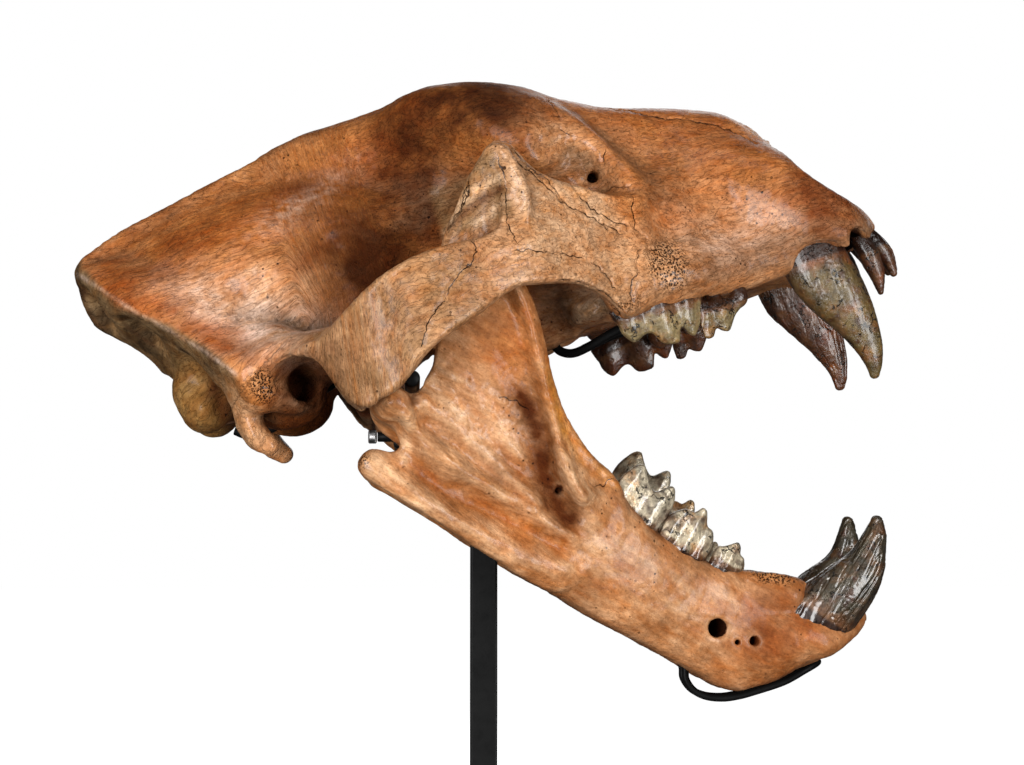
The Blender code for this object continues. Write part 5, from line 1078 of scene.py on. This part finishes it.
class Nodes:
    """A node material, built one call at a time."""
    def __init__(self, name, **shader):
        self.material = bpy.data.materials.new(name)
        self.material.use_nodes = True
        self.tree = self.material.node_tree
        self.shader = self.tree.nodes["Principled BSDF"]
        for key, value in shader.items():
            self.shader.inputs[key.replace("_", " ")].default_value = value

    def add(self, kind, inputs=None, **settings):
        node = self.tree.nodes.new("ShaderNode" + kind)
        for key, value in settings.items():
            setattr(node, key, value)
        for key, value in (inputs or {}).items():
            if isinstance(value, bpy.types.NodeSocket):
                self.tree.links.new(value, node.inputs[key])
            else:
                node.inputs[key].default_value = value
        return node

    def link(self, source, key):
        self.tree.links.new(source, self.shader.inputs[key])

    def noise(self, vector, scale, detail=4.0, roughness=0.55):
        return self.add("TexNoise", {"Vector": vector, "Scale": scale, "Detail": detail,
                                     "Roughness": roughness}).outputs["Fac"]

    def ramp(self, value, low, high, to_low=0.0, to_high=1.0):
        return self.add("MapRange", {"Value": value, "From Min": low, "From Max": high, "To Min": to_low,
                                     "To Max": to_high}).outputs[0]

    def maths(self, operation, a, b):
        return self.add("Math", {0: a, 1: b}, operation=operation).outputs[0]

    def vectors(self, operation, a, b):
        return self.add("VectorMath", {0: a, 1: b}, operation=operation).outputs[0]

    def mix(self, factor, a, b, kind="MIX"):
        return self.add("Mix", {0: factor, 6: a, 7: b}, data_type="RGBA", blend_type=kind).outputs[2]

    def product(self, *rows):
        """Several textures, each mapped from a range to a range of brightness, multiplied."""
        result = 1.0
        for row in rows:
            result = self.maths("MULTIPLY", result, self.ramp(*row))
        return result

    def relief(self, *rows):
        """Bumps on bumps: height, distance and strength of each."""
        normal = {}
        for height, distance, strength in rows:
            bump = self.add("Bump", {"Height": height, "Distance": distance, "Strength": strength,
                                     **normal})
            normal = {"Normal": bump.outputs["Normal"]}
        self.link(bump.outputs["Normal"], "Normal")

    def layer(self, name, output="Vector"):
        return self.add("Attribute", attribute_name=name).outputs[output]


def bone_material(name, gloss, wrinkled):
    m = Nodes(name, Coat_Roughness=0.24, Specular_IOR_Level=0.07)
    tone, grain = m.layer("tone", "Color"), m.layer("grain")
    marks = m.add("SeparateXYZ", {0: m.layer("marks")})
    place = m.add("TexCoord").outputs["Object"]
    patchy = m.noise(place, 42, 6, 0.62)
    blotch = m.noise(place, 120, 5, 0.62)
    fine = m.noise(place, 430, 5, 0.68)
    dust = m.noise(place, 1300, 3, 0.7)
    fibre = m.noise(grain, 1.0, 5, 0.66)
    streak = m.noise(m.vectors("MULTIPLY", grain, (0.32, 0.32, 0.32)), 1.0, 5, 0.6)
    wrinkle = m.ramp(m.maths("ABSOLUTE", m.maths("SUBTRACT", m.noise(grain, 0.7, 3, 0.5), 0.5), 0.0),
                     0.0, 0.035)
    # pores of several sizes, in some of the cells only
    cell = m.add("TexVoronoi", {"Vector": place, "Scale": 420.0})
    size = m.ramp(m.add("SeparateColor", {0: cell.outputs["Color"]}).outputs[0], 0.70, 1.0, 0.0, 0.30)
    some = m.ramp(m.noise(place, 34, 3, 0.5), 0.47, 0.62)
    pore = m.maths("MULTIPLY", m.ramp(m.maths("SUBTRACT", size, cell.outputs["Distance"]), 0.0, 0.09),
                   some)
    sponge = m.add("TexVoronoi", {"Vector": place, "Scale": 900.0}).outputs["Distance"]
    sponge = m.maths("MULTIPLY", m.ramp(sponge, 0.50, 0.30), m.ramp(marks.outputs[2], 0.15, 0.5))
    crack = m.product((m.maths("ABSOLUTE", marks.outputs[0], 0.0), 0.34, 0.08),
                      (marks.outputs[1], 1.6, 0.9), (m.noise(place, 70, 3, 0.5), 0.36, 0.52))
    shade = m.product((patchy, 0.3, 0.7, 0.70, 1.28), (blotch, 0.3, 0.7, 0.84, 1.18),
                      (fine, 0.3, 0.7, 0.76, 1.24), (fibre, 0.3, 0.7, 0.80, 1.20),
                      (wrinkle, 0, 1, 1 - 0.25 * wrinkled, 1.02), (dust, 0.58, 0.72, 1.0, 0.50),
                      (pore, 0, 1, 1.0, 0.18), (sponge, 0, 1, 1.0, 0.10), (crack, 0, 1, 1.0, 0.08))
    grey = m.add("CombineColor", {0: shade, 1: m.maths("POWER", shade, 1.12),
                                  2: m.maths("POWER", shade, 1.25)}).outputs[0]
    warm = m.mix(m.ramp(streak, 0.42, 0.68), (1.0, 1.0, 1.0, 1), (0.86, 0.66, 0.45, 1))
    m.link(m.mix(1.0, m.mix(1.0, tone, warm, "MULTIPLY"), grey, "MULTIPLY"), "Base Color")
    red = m.add("SeparateColor", {0: tone}).outputs[0]
    m.link(m.ramp(red, 0.10, 0.40, 0.0, 0.30), "Coat Weight")
    dull = m.ramp(red, 0.08, 0.36, 0.40, 0.0)
    m.link(m.maths("ADD", dull, m.ramp(m.noise(place, 150, 4, 0.6), 0.3, 0.7, gloss - 0.08,
                                       gloss + 0.14)), "Roughness")
    m.relief((m.noise(place, 170, 5, 0.62), 0.0010, 0.9), (fibre, 0.0007, 0.9),
             (wrinkle, 0.0004 * wrinkled, 0.8), (fine, 0.00045, 0.9), (dust, 0.00022, 0.9),
             (m.maths("ADD", pore, m.maths("ADD", sponge, crack)), -0.0009, 1.0))
    return m.material


def enamel_material(name, metallic, coat):
    m = Nodes(name, Metallic=metallic, Coat_Weight=coat, Coat_Roughness=0.16, Specular_IOR_Level=0.40)
    tone, grain = m.layer("tone", "Color"), m.layer("grain")
    place = m.add("TexCoord").outputs["Object"]
    streak = m.noise(grain, 1.0, 4, 0.6)
    blotch = m.noise(place, 110, 5, 0.6)
    wave = m.add("TexNoise", {"Vector": place, "Scale": 150.0, "Detail": 3.0}).outputs["Color"]
    bent = m.vectors("ADD", place, m.vectors("MULTIPLY", wave, (0.016, 0.016, 0.016)))
    crack = m.add("TexVoronoi", {"Vector": bent, "Scale": 120.0},
                  feature="DISTANCE_TO_EDGE").outputs["Distance"]
    line = m.maths("MULTIPLY", m.ramp(crack, 0.055, 0.015), m.ramp(m.noise(place, 130, 3), 0.52, 0.58))
    stain = m.ramp(m.noise(place, 75, 5, 0.62), 0.50, 0.62)
    shade = m.product((streak, 0.3, 0.7, 0.78, 1.2), (blotch, 0.3, 0.7, 0.5, 1.7),
                      (m.noise(place, 620, 4, 0.6), 0.35, 0.65, 0.75, 1.2), (line, 0, 1, 1.0, 0.04))
    grey = m.add("CombineColor", {0: shade, 1: shade, 2: shade}).outputs[0]
    stained = m.mix(1.0, tone, m.mix(stain, (1.0, 1.0, 1.0, 1), (1.35, 0.92, 0.58, 1)), "MULTIPLY")
    m.link(m.mix(1.0, stained, grey, "MULTIPLY"), "Base Color")
    m.link(m.ramp(m.noise(place, 260, 4, 0.6), 0.3, 0.7, 0.20, 0.48), "Roughness")
    m.relief((streak, 0.00022, 0.8), (m.noise(place, 210, 5, 0.66), 0.0011, 0.9), (line, -0.0006, 1.0))
    return m.material


def steel_material(name, colour, roughness, metallic):
    m = Nodes(name, Metallic=metallic, Specular_IOR_Level=0.06)
    place = m.add("TexCoord").outputs["Object"]
    cloud = m.noise(place, 40, 5, 0.6)
    m.link(m.mix(m.ramp(cloud, 0.35, 0.7), (*colour, 1), (*(c * 1.9 for c in colour), 1)), "Base Color")
    m.link(m.ramp(m.noise(place, 190, 4, 0.6), 0.3, 0.7, roughness - 0.08, roughness + 0.12), "Roughness")
    m.relief((m.noise(place, 900, 3, 0.6), 0.00006, 0.6))
    return m.material


def in_world(points, pitch):
    """Points of a jaw's own frame, in mm, in metres where the stand holds them."""
    angle = math.radians(pitch)
    x, y, z = points.T
    return np.stack([JOINT_X + MM * (x * math.cos(angle) - z * math.sin(angle)), MM * y,
                     JOINT_Z + MM * (x * math.sin(angle) + z * math.cos(angle))], 1)


def placed(name, data):
    item = bpy.data.objects.new(name, data)
    bpy.context.scene.collection.objects.link(item)
    return item


def mesh_piece(name, points, quads, material, colour, grain, marks=None):
    """A piece from points already in the stand's frame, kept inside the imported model's box."""
    points = np.clip(points, np.array(cad_low), np.array(cad_high))
    mesh = bpy.data.meshes.new(name)
    mesh.vertices.add(len(points))
    mesh.vertices.foreach_set("co", points.astype(np.float32).ravel())
    mesh.loops.add(quads.size)
    mesh.loops.foreach_set("vertex_index", quads.astype(np.int32).ravel())
    mesh.polygons.add(len(quads))
    mesh.polygons.foreach_set("loop_start", np.arange(0, quads.size, quads.shape[1], dtype=np.int32))
    mesh.polygons.foreach_set("use_smooth", np.ones(len(quads), bool))
    mesh.update(calc_edges=True)
    mesh.validate()
    tone = np.concatenate([np.clip(colour, 0, 1), np.ones((len(colour), 1))], 1)
    for layer, kind, field, values in (("tone", "FLOAT_COLOR", "color", tone),
                                       ("grain", "FLOAT_VECTOR", "vector", grain),
                                       ("marks", "FLOAT_VECTOR", "vector", marks)):
        if values is not None:
            attribute = mesh.attributes.new(layer, kind, "POINT")
            attribute.data.foreach_set(field, values.astype(np.float32).ravel())
    mesh.materials.append(material)
    return placed(name, mesh)


def own(piece, slot, *nodes):
    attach(piece, "root")
    if nodes:
        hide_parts(*nodes)
    return piece


def cranium_grain(p):
    """Fibres that fan out from the temple over the braincase, and run along the face."""
    x, y, z = p.T
    dx, dz = x - 44, z - 92
    reach, turn = np.hypot(dx, dz), np.arctan2(dz, dx)
    back = smooth_step((20 - x) / 50)[:, None]
    fan = np.stack([reach / 9, np.where(turn < -2.6, turn + 2 * np.pi, turn) * 58, np.abs(y) / 2.0], 1)
    face = np.stack([x / 5, y / 1.6, z / 1.6], 1)
    return fan * back + face * (1 - back)


def broken_arch(lattice, base, step):
    """The lower border of the left arch is broken away, so the mouth of the arch is open to the light."""
    form, low, high = ball((30, 118, 12.5), (27, 34, 17.5), (0, -28, 0))
    first = np.maximum(((low - base) / step).astype(int), 0)
    last = np.minimum(((high - base) / step).astype(int) + 2, lattice.shape)
    points = grid(*[np.arange(a, b) for a, b in zip(first, last)]) * step + base
    part = tuple(slice(a, b) for a, b in zip(first, last))
    cut = -form(*points.T).reshape(lattice[part].shape)
    lattice[part] = soft_max(lattice[part], cut, 2)
    return lattice


def build_cranium(materials):
    s = Surface(cranium, (-142, -140, -16), (272, 140, 162), BONE_STEP, mirror=True, cut=broken_arch)
    paint_cranium(s)
    piece = mesh_piece("cranium_bone", in_world(s.p, CRANIUM_PITCH), s.quads, materials["bone"],
                       s.colour, cranium_grain(s.rest), s.marks)
    own(piece, "bone_cranium", "cranium", "jugal_left", "jugal_right")


def build_mandible(materials):
    for side, lift in (("left", LEFT_LIFT / 2), ("right", 0.0)):
        s = Surface(lambda c: half_jaw(c, lift), (-14, -8, -48), (270, 110, 96), BONE_STEP)
        paint_mandible(s)
        if side == "right":
            s.p, s.rest, s.quads = s.p * [1, -1, 1], s.rest * [1, -1, 1], s.quads[:, ::-1]
        grain = s.rest / [7, 1.5, 1.7]
        piece = mesh_piece("mandible_bone_" + side, in_world(s.p, MANDIBLE_PITCH), s.quads,
                           materials["jaw_bone"], s.colour, grain, s.marks)
        own(piece, "bone_mandible", "mandible_" + side)


def level(value):
    return Run((0, value), (1, value))


# the left row stands a little differently: forward along z, raised along x
LEFT_SHIFT = {
    "upper_p4": (level(0), Run((118, -7.5), (156, -0.5))),
    "upper_p3": (level(0), level(-1)),
    "lower_m1": (level(3), level(14)),
    "lower_p4": (level(2), level(7.5)),
    "lower_canine": (Run((30, 3.5), (52, 3.5), (75, 0)), level(0))}
NECK = {"upper_canine": 9, "upper_p4": 7, "upper_p3": 0, "upper_i3": 6, "upper_i2": 8, "upper_i1": 8,
        "lower_canine": 20, "lower_m1": 12, "lower_p4": 12, "lower_p3": 15, "lower_i3": 27,
        "lower_i2": 28}
CROWN = {"upper_canine": (0.078, 0.052, 0.018), "upper_p": (0.150, 0.110, 0.050),
         "upper_i": (0.060, 0.022, 0.009), "lower_canine": (0.036, 0.028, 0.016),
         "lower_m": (0.36, 0.305, 0.215), "lower_p": (0.33, 0.275, 0.19), "lower_i": (0.10, 0.08, 0.05)}
DARK_CROWN = np.array([0.060, 0.022, 0.009])
STAINED = np.array([0.10, 0.046, 0.018])
ROOT = np.array([0.034, 0.012, 0.005])


def paint_tooth(s, name, sign):
    """Brown root, grey-olive crown, darker on the left side above."""
    upper = name.startswith("upper")
    up = (NECK[name] - s.rest[:, 2]) * (1 if upper else -1)
    s.colour = ROOT
    s.paint(STAINED, 0.7 * smooth_step((up + 3) / 3))
    crown = np.array(CROWN[name.rstrip("1234")])
    if upper and sign > 0:
        crown = DARK_CROWN
    s.paint(crown, smooth_step((up - 2 + 5 * rough(s.rest, 7, 2, 33)) / (7 if "canine" in name else 3.0)))
    s.paint(STAINED, 0.8 * np.clip(2.4 * rough(s.rest, 9, 3, 31) - 0.1, 0, 1))
    s.paint(ROOT, 0.9 * np.clip(3.0 * rough(s.rest, 6, 3, 35) - 0.35, 0, 1) * smooth_step((up - 2) / 4))
    # painted shade in the tooth's hollows
    s.paint(ROOT, 2.0 * np.clip(s.hollow(2.5) - 0.06, 0, 1))
    s.paint(0.5 * ROOT, 1.2 * smooth_step((2 - up) / 3))


def build_teeth(materials):
    for name, jaw, forms, low, high in teeth():
        def shape(c):
            for form, k in forms:
                c.add(form, max(k, 0.5), 8)
        s = Surface(shape, low, high, TOOTH_STEP, rounds=3)
        s.push(0.16 * rough(s.rest, 4, 3, 33) + 0.10 * rough(s.rest, 1.6, 2, 34))
        flute = rough(s.rest * [1, 1, 0.1], 5, 2, 36)
        flute = (0.9 * flute - 0.5 * np.exp(-(flute / 0.06) ** 2)) * ("canine" in name)
        ahead, raised = LEFT_SHIFT.get(name, (level(0), level(0)))
        for side, sign in (("left", 1), ("right", -1)):
            depth = 0.2 if name == "upper_canine" and sign < 0 else 1.0
            points = s.p + s.n * (flute * depth)[:, None]
            if sign > 0:
                points[:, 0] += ahead(s.rest[:, 2])
                points[:, 2] += raised(s.rest[:, 0])
            points = points * [1, sign, 1]
            quads = s.quads if sign > 0 else s.quads[:, ::-1]
            pitch = CRANIUM_PITCH if jaw == "c" else MANDIBLE_PITCH
            paint_tooth(s, name, sign)
            enamel = materials["silver" if name.startswith("lower") else "enamel"]
            piece = mesh_piece(f"{name}_crown_{side}", in_world(points, pitch), quads, enamel, s.colour,
                               points / [1.2, 1.2, 9])
            own(piece, "enamel", *([f"{name}_{side}"] if "canine" in name else []))


def tube(name, route, diameter, material, sides=20):
    """A smooth round rod with rounded ends."""
    points = spline(route, 10) * MM
    points = np.concatenate([points[:1], points, points[-1:]])
    ahead = np.gradient(points, axis=0)
    ahead[0], ahead[-1] = ahead[1], ahead[-2]
    ahead /= np.linalg.norm(ahead, axis=1)[:, None]
    up = np.array([0.13, 0.31, 0.94])
    ring = []
    for i, (p, t) in enumerate(zip(points, ahead)):
        up = up - t * (up @ t)
        up /= np.linalg.norm(up)
        across = np.cross(t, up)
        r = diameter * MM / 2 * (0.82 if i in (0, len(points) - 1) else 1)
        a = np.arange(sides) * 2 * math.pi / sides
        ring.append(p + r * (np.cos(a)[:, None] * up + np.sin(a)[:, None] * across))
    r = diameter * MM / 2 * 0.18
    ring[1], ring[-2] = ring[1] + ahead[0] * r, ring[-2] - ahead[-1] * r
    points = np.concatenate(ring + [points[:1], points[-1:]])
    n = len(ring)
    here = np.arange(n * sides).reshape(n, sides)
    after = np.roll(here, -1, 1)
    faces = np.stack([here[:-1], after[:-1], after[1:], here[1:]], -1).reshape(-1, 4).tolist()
    faces += [[n * sides, b, a] for a, b in zip(here[0].tolist(), after[0].tolist())]
    faces += [[n * sides + 1, a, b] for a, b in zip(here[-1].tolist(), after[-1].tolist())]
    mesh = bpy.data.meshes.new(name)
    mesh.from_pydata(points.tolist(), [], faces)
    mesh.polygons.foreach_set("use_smooth", [True] * len(faces))
    mesh.materials.append(material)
    return placed(name, mesh)


def world_mm(route, pitch):
    return (in_world(np.array(route, float), pitch) / MM).tolist()


def build_stand(materials):
    steel = materials["steel"]
    for node in ("stand_base", "stand_post"):
        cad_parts[node].data.materials.clear()
        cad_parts[node].data.materials.append(steel)
    face = POST_WIDTH / 2 + CLEARANCE
    bar = world_mm([(12.4, 0, 7.4)], CRANIUM_PITCH)[0]
    jaw = (-43.2, 282)
    cradle = [(face + 0.5, 0, 236), (face + 9, 0, 236), (44, -1, 222), (73, -4, 196), (95, -6, 176),
              (101.5, -7, 166), (102.5, -7, 159), (106.5, -7, 153.3), (113, -7, 150.2),
              (121.3, -7, 149.4), (129, -7, 150.4), (137, -7, 152.5), (152.4, -7, 157.5),
              (163, -6.5, 163.2), (169, -4, 166.3), (171, 0, 167.4)]
    clip = world_mm([(77, -9, 10), (83.5, -11, 12), (87, -12.5, 8.5), (90, -13.5, 3.5), (95.5, -15, 0.8),
                     (104, -16, 1.6), (122, -16, 5.6), (138, -14, 5.6), (146, -6, 5.6), (146, 6, 5.6),
                     (138, 14, 5.6), (120, 16, 5.2), (104, 16, 3)], CRANIUM_PITCH)
    rods = {
        "stand_skull_bar": ([(bar[0], -91, bar[2]), (bar[0], 91, bar[2])], 7.6),
        "stand_skull_arm": ([(-face - 1.5, 0, 289), (bar[0] + 4.2, 0, bar[2] - 3.4)], 6.0),
        "stand_rear_rod": (world_mm([(7.4, 0, 7.4), (-6, 0, 17), (-18, 0, 22.5), (-30, 0, 21),
                                     (-45, 0, 15), (-62, 0, 9.5), (-74, 0, 10), (-80, 0, 14)],
                                    CRANIUM_PITCH), 5.0),
        "stand_palate_clip": ([(0, 0, 299.3), (1, -1, 309), (9, -6, 321), *clip], 4.6),
        "stand_jaw_bar": ([(jaw[0], -64, jaw[1] - 5.4), (jaw[0], 64, jaw[1] - 5.4)], 5.0),
        "stand_jaw_arm": ([(-face, 0, jaw[1]), (-54.3, 0, jaw[1])], 5.2),
        "stand_chin_cradle": (cradle + [(x, -y, z) for x, y, z in cradle[-2:2:-1]], 3.6)}
    for name, (route, diameter) in rods.items():
        own(tube(name + "_steel", route, diameter, steel), "black_steel", name)
    own(tube("stand_jaw_bolt_steel", [(-54.6, 0, jaw[1]), (-59, 0, jaw[1])], 7.4, materials["bolt"], 6),
        "bright_steel", "stand_jaw_bolt")


def aimed(item, place, aim):
    item.location = place
    item.rotation_euler = (Vector(aim) - Vector(place)).to_track_quat("-Z", "Y").to_euler()


def build_stage():
    scene = bpy.context.scene
    m = Nodes("floor", Roughness=0.9, Emission_Color=(1, 1, 1, 1), Emission_Strength=0.97)
    place = m.add("TexCoord").outputs["Object"]
    m.link(m.mix(m.noise(place, 3, 4), (0.86, 0.86, 0.86, 1), (0.90, 0.90, 0.90, 1)), "Base Color")
    mesh = bpy.data.meshes.new("floor")
    mesh.from_pydata([(-8, -8, 0), (8, -8, 0), (8, 8, 0), (-8, 8, 0)], [], [(0, 1, 2, 3)])
    mesh.materials.append(m.material)
    floor = placed("floor", mesh)
    floor.visible_diffuse = False
    floor.visible_glossy = False
    floor.visible_shadow = False
    world = bpy.data.worlds.new("studio")
    scene.world = world
    world.use_nodes = True
    tree = world.node_tree
    sky = tree.nodes["Background"]
    sky.inputs["Color"].default_value = (1, 1, 1, 1)
    path = tree.nodes.new("ShaderNodeLightPath")
    level = tree.nodes.new("ShaderNodeMapRange")
    level.inputs["To Min"].default_value = 0.05
    level.inputs["To Max"].default_value = 1.0
    tree.links.new(path.outputs["Is Camera Ray"], level.inputs["Value"])
    tree.links.new(level.outputs[0], sky.inputs["Strength"])
    for name, (place, size, power) in LIGHTS.items():
        light = bpy.data.lights.new(name, "AREA")
        light.shape = "RECTANGLE"
        light.size, light.size_y = size
        light.energy = power
        item = placed(name, light)
        item.visible_camera = False
        aimed(item, place, LIGHTS_AIM)
    camera = bpy.data.cameras.new("camera")
    camera.sensor_width = SENSOR
    camera.lens = FOCAL / PHOTO_WIDTH * SENSOR
    scene.camera = placed("camera", camera)
    aimed(scene.camera, CAMERA_AT, CAMERA_AIM)
    scene.view_settings.view_transform = "Standard"


def main():
    materials = {"bone": bone_material("fossil_bone", 0.30, 1.0),
                 "jaw_bone": bone_material("fossil_jaw_bone", 0.38, 0.25),
                 "enamel": enamel_material("enamel", 0.0, 0.36),
                 "silver": enamel_material("dark_enamel", 0.35, 0.8),
                 "steel": steel_material("black_steel", (0.0035, 0.0035, 0.0035), 0.40, 0.0),
                 "bolt": steel_material("bright_steel", (0.5, 0.5, 0.5), 0.3, 1.0)}
    for build in (build_cranium, build_mandible, build_teeth, build_stand):
        build(materials)
    build_stage()


main()
